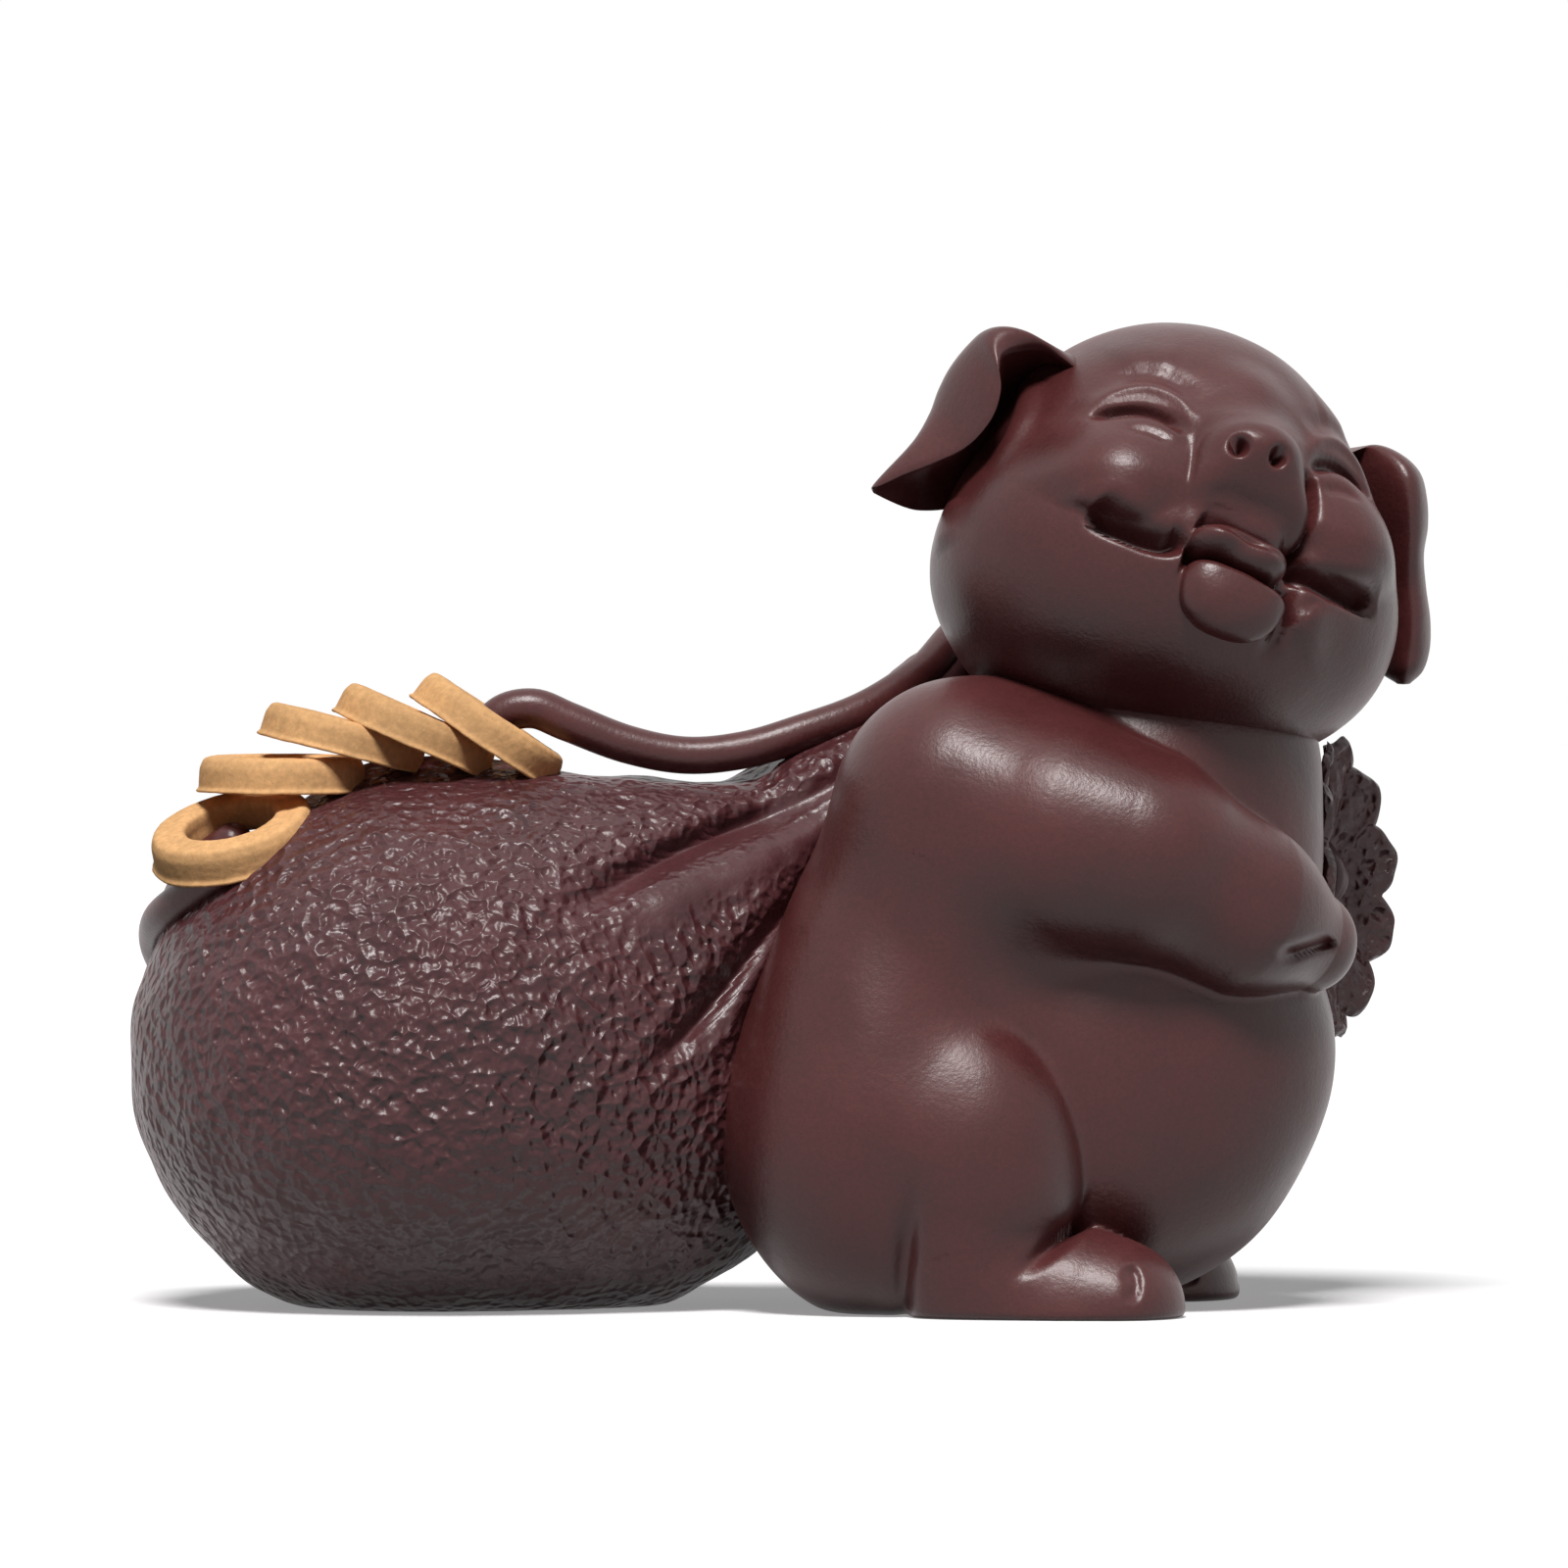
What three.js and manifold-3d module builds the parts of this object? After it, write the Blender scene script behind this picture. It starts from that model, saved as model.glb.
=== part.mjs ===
// A hollow clay pig that drags a money sack over its far shoulder, with five cash coins fanned on
// top of the sack. Units are millimetres, +Z is up, and the figure is seen from -Y in its usual
// view, with the sack on the left and the pig on the right.
//
// Every part of the figure was rolled, pressed or hollowed in soft clay, scored, slipped and luted
// to its neighbour, so each is a solid of its own that stops one luting gap short of the next.

import * as THREE from "three";
import { mergeVertices } from "three/addons/utils/BufferGeometryUtils.js";
import Module from "manifold-3d";

const wasm = await Module();
wasm.setup();

// Clay and fits.
const wallThickness = 4.2; // of the three hollow shells
const lutingGap = 0.3; // the slip between two luted pieces
const ventRadius = 5.5; // the hole in each shell's base, which lets the hollow dry and fire
const baseCut = 1.3; // how much of each round underside is cut away, so that the figure sits flat
const nostrilRadius = 0.95;
const nostrilSpacing = 3.7;
const nostrilDepth = 2.2;

// Where the pig stands, and how its head is set.
const pigPlace = new THREE.Vector3(25, 0, 0);
const pigTurn = THREE.MathUtils.degToRad(-11); // towards the viewer
const headPlace = new THREE.Vector3(35.5, 0, 71.3);
const headTurn = THREE.MathUtils.degToRad(-66.7); // from straight along +X
const headTilt = THREE.MathUtils.degToRad(21.1); // the snout points up
const headRoll = THREE.MathUtils.degToRad(-17.5); // the far ear is the lower one

// The coins: pressed discs with a little draft and a round hole.
const coinRadius = 7.8;
const coinThickness = 3.2;
const coinDraft = 0.35;
const coinEdge = 0.5;
const coinHoleRadius = 4.2;
const coinSides = 24;

// The drawstring, a rolled coil of clay, and the two ends that hang down behind the coins.
const cordRadius = 1.75;
const cordSides = 8;

// Materials.
const purpleClay = new THREE.MeshStandardMaterial({ color: 0x68403d, roughness: 0.45, metalness: 0 });
const sackClay = new THREE.MeshStandardMaterial({ color: 0x603a3a, roughness: 0.5, metalness: 0 });
const yellowClay = new THREE.MeshStandardMaterial({ color: 0xc6925f, roughness: 0.7, metalness: 0 });

const point = (x, y, z) => new THREE.Vector3(x, y, z);

// Fields. A field gives the distance of a point from a surface, negative inside it.

// An ellipsoid with its own centre and three radii.
function egg(centre, radii) {
  return (p) => {
    const q = p.clone().sub(centre).divide(radii);
    const near = q.length();
    if (near < 1e-6) return -Math.min(radii.x, radii.y, radii.z);
    return (near * (near - 1)) / q.divide(radii).length();
  };
}

// A round bar that swells or tapers through a list of balls, each a centre and a radius.
function bar(balls, softness) {
  const pieces = balls.slice(1).map((ball, i) => {
    const [start, startRadius] = balls[i];
    const [end, endRadius] = ball;
    const run = end.clone().sub(start);
    return (p) => {
      const share = THREE.MathUtils.clamp(p.clone().sub(start).dot(run) / run.lengthSq(), 0, 1);
      const onAxis = start.clone().addScaledVector(run, share);
      return p.distanceTo(onAxis) - (startRadius + share * (endRadius - startRadius));
    };
  });
  return blend(pieces, softness);
}

// The union of several fields, with a fillet about as wide as the softness.
function blend(fields, softness) {
  return (p) =>
    fields
      .map((field) => field(p))
      .reduce((a, b) => {
        const overlap = Math.max(softness - Math.abs(a - b), 0) / softness;
        return Math.min(a, b) - (overlap * overlap * softness) / 4;
      });
}

// A dent (or, with a negative depth, a swelling) pressed along a path of points.
function dent(path, width, depth) {
  const along = bar(path.map((place) => [place, 0]), 0.01);
  return (p) => depth * Math.exp(-((along(p) / width) ** 2));
}

// Forms. A form is a field with the grid of rays that finds its skin: the rays leave the centre for
// the points of a globe whose poles lie along the axis, and which is stretched along it.
const form = (field, centre, axis, stretch, columns, rows) => ({
  field, centre, axis: axis.clone().normalize(), stretch, columns, rows,
});

const rayReach = 70;
const raySteps = 30;
const hollowDetail = 0.5; // the share of a skin's grid that its hollow needs

// The place where a ray from the form's centre leaves its field's level.
function cast(shape, direction, level = 0) {
  let inner = 0;
  let outer = rayReach;
  for (let step = 0; step < raySteps; step++) {
    const middle = (inner + outer) / 2;
    if (shape.field(shape.centre.clone().addScaledVector(direction, middle)) < level) inner = middle;
    else outer = middle;
  }
  return shape.centre.clone().addScaledVector(direction, inner);
}

function skin(shape, level = 0, share = 1) {
  const columns = Math.round(shape.columns * share);
  const rows = Math.round(shape.rows * share);
  const geometry = new THREE.SphereGeometry(1, columns, rows).scale(1, shape.stretch, 1);
  geometry.applyQuaternion(new THREE.Quaternion().setFromUnitVectors(point(0, 1, 0), shape.axis));
  geometry.deleteAttribute("normal");
  geometry.deleteAttribute("uv");
  const grid = mergeVertices(geometry, 1e-4);
  const places = grid.getAttribute("position");
  for (let i = 0; i < places.count; i++) {
    const direction = new THREE.Vector3().fromBufferAttribute(places, i).normalize();
    const found = cast(shape, direction, level);
    places.setXYZ(i, found.x, found.y, found.z);
  }
  return grid;
}

// Lofts. A closed skin over a row of closed sections, each a list of points, with flat ends.
function loft(sections) {
  const sides = sections[0].length;
  const points = sections.flat();
  const faces = [];
  for (let row = 0; row + 1 < sections.length; row++)
    for (let side = 0; side < sides; side++) {
      const next = (side + 1) % sides;
      const [a, b] = [row * sides + side, row * sides + next];
      faces.push(a, b, b + sides, a, b + sides, a + sides);
    }
  const middleOf = (section) =>
    section.reduce((sum, p) => sum.add(p), point(0, 0, 0)).divideScalar(sides);
  points.push(middleOf(sections[0]), middleOf(sections.at(-1)));
  const [startMiddle, endMiddle] = [points.length - 2, points.length - 1];
  const last = (sections.length - 1) * sides;
  for (let side = 0; side < sides; side++) {
    const next = (side + 1) % sides;
    faces.push(startMiddle, next, side, endMiddle, last + side, last + next);
  }
  const geometry = new THREE.BufferGeometry().setFromPoints(points);
  geometry.setIndex(faces);
  return geometry;
}

// Solids.
function solid(geometry) {
  const bare = new THREE.BufferGeometry();
  bare.setAttribute("position", geometry.getAttribute("position"));
  bare.setIndex(geometry.index);
  const merged = mergeVertices(bare, 1e-4);
  const made = new wasm.Manifold(
    new wasm.Mesh({
      numProp: 3,
      vertProperties: new Float32Array(merged.getAttribute("position").array),
      triVerts: new Uint32Array(merged.index.array),
    }),
  );
  if (made.volume() > 0) return made;
  for (let i = 0; i < merged.index.count; i += 3) {
    const [b, c] = [merged.index.getX(i + 1), merged.index.getX(i + 2)];
    merged.index.setX(i + 1, c);
    merged.index.setX(i + 2, b);
  }
  return solid(merged);
}

function geometryOf(body) {
  const mesh = body.getMesh();
  const geometry = new THREE.BufferGeometry();
  geometry.setAttribute("position", new THREE.BufferAttribute(mesh.vertProperties, 3));
  geometry.setIndex(new THREE.BufferAttribute(mesh.triVerts, 1));
  geometry.computeVertexNormals();
  return geometry;
}

// The largest body of a cut, without the crumbs that a cut can leave.
const largest = (body) =>
  body.decompose().reduce((a, b) => (b.volume() > a.volume() ? b : a));

const placed = (geometry, pose) => geometry.clone().applyMatrix4(pose);
const cut = (body, ...tools) => tools.reduce((left, tool) => left.subtract(tool), body);

const bigSize = 400;
const tableTop = solid(
  new THREE.BoxGeometry(bigSize, bigSize, bigSize).translate(0, 0, baseCut - bigSize / 2),
);

function verticalPin(radius, x, y, low, high) {
  const pin = new THREE.CylinderGeometry(radius, radius, high - low, 24).rotateX(Math.PI / 2);
  return solid(pin.translate(x, y, (low + high) / 2));
}

// Poses: from the pig's own frame (forwards, left, up), and from its head's frame (left, up, out of
// the snout), to the figure's frame.
const pigPose = new THREE.Matrix4()
  .makeRotationZ(pigTurn)
  .setPosition(pigPlace);
const headPose = (() => {
  const out = point(
    Math.cos(headTurn) * Math.cos(headTilt),
    Math.sin(headTurn) * Math.cos(headTilt),
    Math.sin(headTilt),
  );
  const level = point(-Math.sin(headTurn), Math.cos(headTurn), 0);
  const left = level.clone().applyAxisAngle(out, headRoll);
  const up = out.clone().cross(left);
  return new THREE.Matrix4().makeBasis(left, up, out).setPosition(headPlace);
})();

// The torso, in the pig's frame: belly, chest and neck as one open-topped pot. The head closes it.
const belly = egg(point(0, 0, 25), point(25.9, 19.5, 21.5));
const chest = egg(point(2.8, 0.6, 42), point(21.8, 17.5, 17));
const neck = egg(point(6.7, 1.6, 52), point(17.3, 16.2, 13));
const lap = egg(point(2.8, 0, 16), point(17.6, 16, 14));
const torsoForm = form(blend([belly, chest, neck, lap], 5), point(2, 0, 34), point(0, 0, 1), 1.4, 24, 16);

// The head, in its own frame: skull, jowls and cheeks, with the smile and the closed eyes cut in.
const headRadius = 21.4;
const cutWireRadius = 0.75; // the tool that cut the smile and the closed eyes
const onFace = (left, up, lift = 0) =>
  point(left, up, Math.sqrt(Math.max(headRadius ** 2 - left ** 2 - up ** 2, 1)) + lift);
const smileLine = (side) => [
  onFace(side * 15, -6.4, 0.6), onFace(side * 13, -9, 1.3), onFace(side * 10.2, -10.6, 1.4),
  onFace(side * 7, -11, 1), onFace(side * 3.6, -10.6, 0.8),
];
const eyeLine = (side) => [
  onFace(side * 14.6, 2, -0.6), onFace(side * 12.4, 3.4, -0.6), onFace(side * 9.4, 3.6, -0.6),
  onFace(side * 6.6, 1.8, -0.6),
];
const skull = egg(point(0, 1.4, 0), point(19.4, 19.5, 19.9));
const jowls = egg(point(0, -5.3, 0.5), point(22, 15, 19.4));
const cheek = (side) => egg(onFace(side * 11.4, -3.4).multiplyScalar(0.74), point(7, 6.4, 7.4));
const headForm = form(blend([skull, jowls, cheek(-1), cheek(1)], 4), point(0, 0, 0),
  point(0, 0, 1), 1, 30, 22);

const snoutForm = form(
  blend([
    egg(point(0, -1, 19.8), point(5.3, 3.6, 6.2)),
    egg(point(0, -4.6, 18.8), point(5.5, 4.4, 6)),
  ], 3),
  point(0, -3, 19), point(0, 0, 1), 1, 18, 12,
);
const tongueForm = form(egg(point(0, -9.4, 18.6), point(5, 2.2, 4.2)), point(0, -9.4, 18.6),
  point(1, 0, 0), 1.6, 14, 10);
const lipForm = form(egg(point(0, -12.8, 15.8), point(5.2, 4.6, 5.2)), point(0, -12.8, 15.8),
  point(0, 0, 1), 1, 14, 10);

// Limbs, in the pig's frame. side is -1 for the pig's right, which is the near side, and 1 for its
// left.
const hip = { forwards: -14.1, out: 15.3, up: 16.2, radii: point(14, 11, 15.8) };
const knee = { forwards: -5, out: 16.4, up: 18.5, radii: point(10.7, 9.8, 10.6) };
const shin = { forwards: -4.2, out: 17, up: 7.5, radii: point(8.4, 8, 11.5) };
const foot = { forwards: 3.4, out: 16.6, up: 1.2, radii: point(10.6, 7.4, 7.4) };
const lump = (part, side) => egg(point(part.forwards, side * part.out, part.up), part.radii);
const haunchForm = (side) =>
  form(blend([lump(hip, side), lump(knee, side)], 4), point(-10, side * 15.8, 17),
    point(1, 0, 0.2), 1.2, 18, 14);
const footForm = (side) =>
  form(blend([lump(shin, side), lump(foot, side)], 2.5), point(0, side * 16.8, 4.5),
    point(1, 0, 0), 1.3, 18, 12);

const rightArm = [
  [point(-6.2, -15.6, 49.2), 9.4],
  [point(11.7, -17.6, 42.4), 8.5],
  [point(19.8, -11.4, 38.2), 6.2],
  [point(24.4, -4, 34.6), 4],
];
const leftArm = [
  [point(-5, 15.6, 47.5), 9.2],
  [point(9, 18.4, 41), 8.2],
  [point(17.5, 15, 37.2), 6],
  [point(20.6, 11, 36.4), 4.4],
];
const armForm = (balls) => {
  const middle = balls[1][0].clone().lerp(balls[0][0], 0.25);
  return form(bar(balls, 4), middle, balls.at(-1)[0].clone().sub(middle), 1.8, 16, 16);
};

// The sack, in the figure's frame: a full bag that narrows to the neck over the far shoulder.
const bag = egg(point(-32, 0, 24.6), point(28.2, 26, 25.6));
const bagFront = egg(point(-15, 2, 24.4), point(20, 18, 22.6));
const bagTop = bar([[point(-21, 1, 32.4), 14.6], [point(-5, 2, 36.6), 11], [point(4, 4.5, 43.2), 8.2],
  [point(11, 8, 49.6), 6.4]], 4);
const crease = (places, width, depth) =>
  dent(places.map(([x, y, z]) => point(x, y, z)), width, depth);
const sackField = (() => {
  const mass = blend([bag, bagFront, bagTop], 9);
  const creases = [
    crease([[7, -6, 52], [-2, -14, 46], [-12, -20, 42], [-21, -23, 38]], 1.6, 1.8),
    crease([[7, -8, 46], [0, -17, 38], [-6, -21, 30], [-14, -24, 21]], 1.5, 1.8),
    crease([[7, 14, 52], [-2, 18, 46], [-12, 22, 42], [-22, 24, 36]], 1.6, 1.8),
    crease([[5, 16, 44], [-2, 19, 36], [-9, 22, 26]], 1.5, 1.6),
  ];
  return (p) => creases.reduce((level, mark) => level + mark(p), mass(p));
})();
const sackForm = form(sackField, point(-28, 0, 25), point(0.84, 0.1, 0.53), 1.3, 30, 22);

// The gathered neck runs over the far shoulder to the hands; its pleats are a wave on its radius.
const neckPath = new THREE.CatmullRomCurve3([
  point(5, 5, 46), point(11, 9, 52), point(18, 16, 58.4), point(28, 22.5, 58.5),
  point(38.5, 21.5, 52), point(45, 16.8, 44.8), point(48.4, 11.6, 40.2),
]);
const neckRadii = [7.6, 6, 5.2, 5, 4.8, 4.4, 3.9];
const pleats = 6;
const pleatDepth = 0.5;

function ringAt(path, share, radiusAt, sides) {
  const centre = path.getPointAt(share);
  const run = path.getTangentAt(share);
  const across = point(0, 0, 1).cross(run).normalize();
  const over = run.clone().cross(across);
  return Array.from({ length: sides }, (_, side) => {
    const turn = (side / sides) * 2 * Math.PI;
    const radius = radiusAt(share, turn);
    return centre.clone()
      .addScaledVector(across, radius * Math.cos(turn))
      .addScaledVector(over, radius * Math.sin(turn));
  });
}
function throughList(list, share) {
  const place = share * (list.length - 1);
  const low = Math.min(Math.floor(place), list.length - 2);
  return THREE.MathUtils.lerp(list[low], list[low + 1], place - low);
}
const neckRadius = (share, turn) =>
  throughList(neckRadii, share) + pleatDepth * Math.cos(pleats * turn);
const neckRings = 12;
const neckSides = 18;
const neckSkin = (extra = 0) =>
  loft(Array.from({ length: neckRings + 1 }, (_, row) =>
    ringAt(neckPath, row / neckRings, (share, turn) => neckRadius(share, turn) + extra, neckSides)));

// The frill: the sack's mouth flares from the tie into a waved rim in front of the chest.
const frillStart = neckPath.getPointAt(1);
const frillRun = point(0.86, -0.42, -0.22).normalize();
const frillLength = 4.6;
const frillHalfHeight = 13;
const frillHalfDepth = 8;
const frillWaves = 7;
const frillWaveHeight = 1.1;
const frillWall = 1.6;
const frillSides = 28;
function frillSection(share, inset) {
  const up = point(0, 0, 1).addScaledVector(frillRun, -frillRun.z).normalize();
  const across = up.clone().cross(frillRun);
  const flare = share ** 1.5;
  return Array.from({ length: frillSides }, (_, side) => {
    const turn = (side / frillSides) * 2 * Math.PI;
    const wave = frillWaveHeight * flare * Math.cos(frillWaves * turn);
    const high = THREE.MathUtils.lerp(neckRadii.at(-1) + 0.4, frillHalfHeight, flare) - inset;
    const wide = THREE.MathUtils.lerp(neckRadii.at(-1) + 0.4, frillHalfDepth, flare) - inset;
    return frillStart.clone()
      .addScaledVector(frillRun, frillLength * share + wave * 0.6)
      .addScaledVector(across, (wide + wave) * Math.cos(turn))
      .addScaledVector(up, (high + wave) * Math.sin(turn));
  });
}

// The drawstring's route: out of the first coin's hole, down in a slack curve, along the sack's
// neck and over the shoulder to the tie.
const cordPath = new THREE.CatmullRomCurve3([
  point(-25.4, 0, 56.4), point(-23, 0, 56.5), point(-19.9, 0, 55.2), point(-14.4, 0, 53.1),
  point(-9, 0.2, 52.1), point(-3.6, 0.6, 52.6), point(1.8, 1.6, 54.2), point(7.2, 3.6, 56.2),
  point(12.6, 7.6, 59.6), point(17.6, 15, 64.2), point(26, 24, 64), point(36, 27.4, 58),
  point(43, 24.6, 50.6), point(47, 18, 45.4),
]);
// The ends lie on the sack, sunk into it by a third of their thickness.
const onSack = (x, y, z) => {
  const direction = point(x, y, z).sub(sackForm.centre).normalize();
  return cast(sackForm, direction).addScaledVector(direction, cordRadius / 3);
};
const nearTail = new THREE.CatmullRomCurve3([
  onSack(-46, -11, 43), onSack(-51.6, -9.6, 41), onSack(-55.8, -6, 38.6), onSack(-57.2, -0.5, 36.4),
  onSack(-56, 6.5, 33.4), onSack(-53, 13, 29.6), onSack(-49, 18.6, 25.2),
]);
const farTail = new THREE.CatmullRomCurve3([
  onSack(-49, -4, 45), onSack(-53.2, -2.5, 42.8), onSack(-55.8, 1, 40.4), onSack(-55.8, 6.5, 37.8),
  onSack(-53.6, 12.4, 34.4), onSack(-50, 17.4, 30.4), onSack(-45.6, 21.4, 26),
]);
const cordSteps = 30;
const tailSteps = 12;
function coil(path, radius, steps) {
  const section = new THREE.Shape().absarc(0, 0, radius, 0, 2 * Math.PI);
  return new THREE.ExtrudeGeometry(section, {
    steps, curveSegments: cordSides / 2, bevelEnabled: false, extrudePath: path,
  });
}

// The coins, first the one nearest the drawstring. lean tips a coin's right side down, and nod tips
// its top towards the viewer.
const coins = [
  { x: -27.1, y: 0.2, z: 54.5, lean: 34, nod: 0 },
  { x: -33.8, y: -0.3, z: 54.5, lean: 24, nod: 0 },
  { x: -40.5, y: 0.2, z: 53.8, lean: 14, nod: 0 },
  { x: -46.2, y: -0.6, z: 50.4, lean: 0, nod: 2 },
  { x: -50.4, y: -6, z: 44.8, lean: -13, nod: 21 },
];
function coinSolid(extra = 0) {
  const [top, bottom] = [coinThickness / 2 + extra, -coinThickness / 2 - extra];
  const [wide, narrow] = [coinRadius + extra, coinRadius - coinDraft + extra];
  const hole = coinHoleRadius - extra;
  const profile = [
    [hole, bottom], [wide - coinEdge / 2, bottom], [wide, bottom + coinEdge / 2],
    [narrow, top - coinEdge], [narrow - coinEdge, top], [hole, top], [hole, bottom],
  ];
  const lathe = new THREE.LatheGeometry(profile.map(([r, z]) => new THREE.Vector2(r, z)), coinSides);
  return solid(lathe.rotateX(Math.PI / 2));
}
function coinPose(coin) {
  const turn = new THREE.Euler(
    THREE.MathUtils.degToRad(coin.nod), THREE.MathUtils.degToRad(coin.lean), 0, "YXZ");
  return new THREE.Matrix4().makeRotationFromEuler(turn).setPosition(coin.x, coin.y, coin.z);
}
const moved = (body, pose) => body.transform(pose.elements);

// The ears, in the head's frame, for the left side; the right one is their mirror image. Each rail
// runs from the root to the tip, and the blade bulges from the front rail over the crest to the
// back rail.
const earRails = {
  rim: [point(17.3, 10.4, 9), point(20.5, 11.1, 8.9), point(22, 9, 8.2), point(21.4, 6, 7.4),
    point(21.6, 3.4, 5.8), point(23.3, 1.2, 3), point(25.8, -0.1, -0.8), point(28, -1.1, -5)],
  crest: [point(16.6, 13.2, 4), point(20.1, 14, 4.1), point(22.8, 12.8, 2), point(24.2, 9.8, -0.6),
    point(24.7, 6.2, -2.6), point(25.6, 2.8, -4), point(26.9, 0.9, -4.5), point(28.2, -1, -5.2)],
  back: [point(14, 14.6, -1.6), point(14.8, 14.2, -4.5), point(16, 11.8, -7.3), point(17, 7.6, -8.7),
    point(18, 3, -9.6), point(20.7, 0.2, -8.9), point(25.1, -1.2, -6.6), point(27.9, -1.4, -5.4)],
};
const earThickness = 1.8;
const earRows = 12;
const earColumns = 8;
// The left ear is luted on a little further in and hangs lower than the right one.
const earShifts = {
  right: { root: point(0, 0, 0), tip: point(0, 0, 0) },
  left: { root: point(-1.6, -0.8, 0), tip: point(1.4, -3.2, 0) },
};
function earSections(side) {
  const shift = side > 0 ? earShifts.left : earShifts.right;
  const rails = Object.values(earRails).map((places) => new THREE.CatmullRomCurve3(places));
  return Array.from({ length: earRows + 1 }, (_, row) => {
    const share = row / earRows;
    const [front, crest, back] = rails.map((rail) =>
      rail.getPoint(share).add(shift.root.clone().lerp(shift.tip, share)));
    const across = Array.from({ length: earColumns }, (_, column) => {
      const v = column / (earColumns - 1);
      return front.clone().multiplyScalar((1 - v) * (1 - 2 * v))
        .addScaledVector(crest, 4 * v * (1 - v))
        .addScaledVector(back, v * (2 * v - 1));
    });
    const middle = front.clone().add(back).multiplyScalar(0.5);
    const inwards = middle.sub(crest).normalize();
    const thick = (v) => earThickness * (0.45 + 0.55 * Math.sin(Math.PI * v)) * (1 - 0.5 * share);
    const inside = across.map((place, column) =>
      place.clone().addScaledVector(inwards, thick(column / (earColumns - 1))));
    return [...across, ...inside.reverse()].map((p) => point(side * p.x, p.y, p.z));
  });
}

// Cutting tools: each neighbour's skin, one luting gap proud.
const torsoTool = solid(skin(torsoForm, lutingGap));
const headTool = solid(placed(skin(headForm, lutingGap), headPose));
const headToolOwn = solid(skin(headForm, lutingGap));
const sackTool = solid(skin(sackForm, lutingGap));
const inPig = (body) => moved(body, pigPose);
const inPigInverse = pigPose.clone().invert();

function torsoSolid() {
  const shell = solid(skin(torsoForm)).subtract(solid(skin(torsoForm, -wallThickness, hollowDetail)));
  return largest(cut(shell, verticalPin(ventRadius, 0, 0, -1, 12), moved(headTool, inPigInverse), tableTop));
}
function headSolid() {
  const shell = solid(skin(headForm)).subtract(solid(skin(headForm, -wallThickness, hollowDetail)));
  const neckHole = verticalPin(ventRadius, headPlace.x, headPlace.y, headPlace.z - 30, headPlace.z);
  const lines = [smileLine(-1), smileLine(1), eyeLine(-1), eyeLine(1)].map((places) =>
    solid(coil(new THREE.CatmullRomCurve3(places), cutWireRadius, 8)));
  return largest(cut(shell, moved(neckHole, headPose.clone().invert()), ...lines));
}
function sackSolid() {
  const shell = solid(skin(sackForm)).subtract(solid(skin(sackForm, -wallThickness, hollowDetail)));
  const vent = verticalPin(ventRadius, -32, 0, -5, 12);
  return largest(cut(shell, vent, inPig(torsoTool), ...[-1, 1].map((side) =>
    inPig(solid(skin(haunchForm(side), lutingGap)))), ...[rightArm, leftArm].map((balls) =>
    inPig(solid(skin(armForm(balls), lutingGap)))), headTool, tableTop));
}
function nostril(side) {
  const hole = new THREE.CylinderGeometry(nostrilRadius, nostrilRadius, 2 * nostrilDepth, 12)
    .rotateX(Math.PI / 2);
  return solid(hole.translate((side * nostrilSpacing) / 2, 0, 26));
}

const inTable = moved(tableTop, inPigInverse);
const haunchSolid = (side) =>
  largest(cut(solid(skin(haunchForm(side))), torsoTool, inTable));
const footSolid = (side) =>
  largest(cut(solid(skin(footForm(side))), torsoTool, solid(skin(haunchForm(side), lutingGap)), inTable));
const armSolid = (balls) =>
  largest(cut(solid(skin(armForm(balls))), torsoTool, moved(headTool, inPigInverse)));

const neckSolid = largest(cut(solid(neckSkin()), sackTool, inPig(torsoTool), headTool,
  inPig(solid(skin(armForm(leftArm), lutingGap)))));
const frillSolid = largest(cut(
  solid(loft([0, 0.25, 0.5, 0.75, 1].map((share) => frillSection(share, 0)))),
  solid(loft([0.35, 0.6, 0.8, 1.02].map((share) => frillSection(share, frillWall)))),
  inPig(torsoTool), headTool, solid(neckSkin(lutingGap)),
  inPig(solid(skin(armForm(leftArm), lutingGap))), inPig(solid(skin(armForm(rightArm), lutingGap)))));


const coinSolids = coins.map((coin) => moved(coinSolid(), coinPose(coin)));
const coinTools = coins.map((coin) => moved(coinSolid(lutingGap), coinPose(coin)));
const cordSolid = largest(cut(solid(coil(cordPath, cordRadius, cordSteps)), solid(neckSkin(lutingGap)),
  sackTool, headTool, ...coinTools));
const tailSolid = (path) =>
  largest(cut(solid(coil(path, cordRadius, tailSteps)), sackTool, ...coinTools));

// The figure.
const figure = new THREE.Group();
const pig = new THREE.Group();
pig.applyMatrix4(pigPose);
const head = new THREE.Group();
head.applyMatrix4(headPose);
figure.add(pig, head);

function add(group, name, body, material) {
  const mesh = new THREE.Mesh(geometryOf(body), material);
  mesh.name = name;
  group.add(mesh);
}

add(pig, "torso_shell", torsoSolid(), purpleClay);
add(head, "head_shell", headSolid(), purpleClay);
const snoutTool = solid(skin(snoutForm, lutingGap));
const tongueTool = solid(skin(tongueForm, lutingGap));
add(head, "snout", largest(cut(solid(skin(snoutForm)), headToolOwn, nostril(-1), nostril(1))), purpleClay);
add(head, "tongue", largest(cut(solid(skin(tongueForm)), headToolOwn, snoutTool)), purpleClay);
add(head, "lower_lip", largest(cut(solid(skin(lipForm)), headToolOwn, snoutTool, tongueTool)), purpleClay);
[["right", -1, rightArm], ["left", 1, leftArm]].forEach(([name, side, balls]) => {
  add(head, `${name}_ear`, largest(cut(solid(loft(earSections(side))), headToolOwn)), purpleClay);
  add(pig, `${name}_arm`, armSolid(balls), purpleClay);
  add(pig, `${name}_haunch`, haunchSolid(side), purpleClay);
  add(pig, `${name}_foot`, footSolid(side), purpleClay);
});
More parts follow.
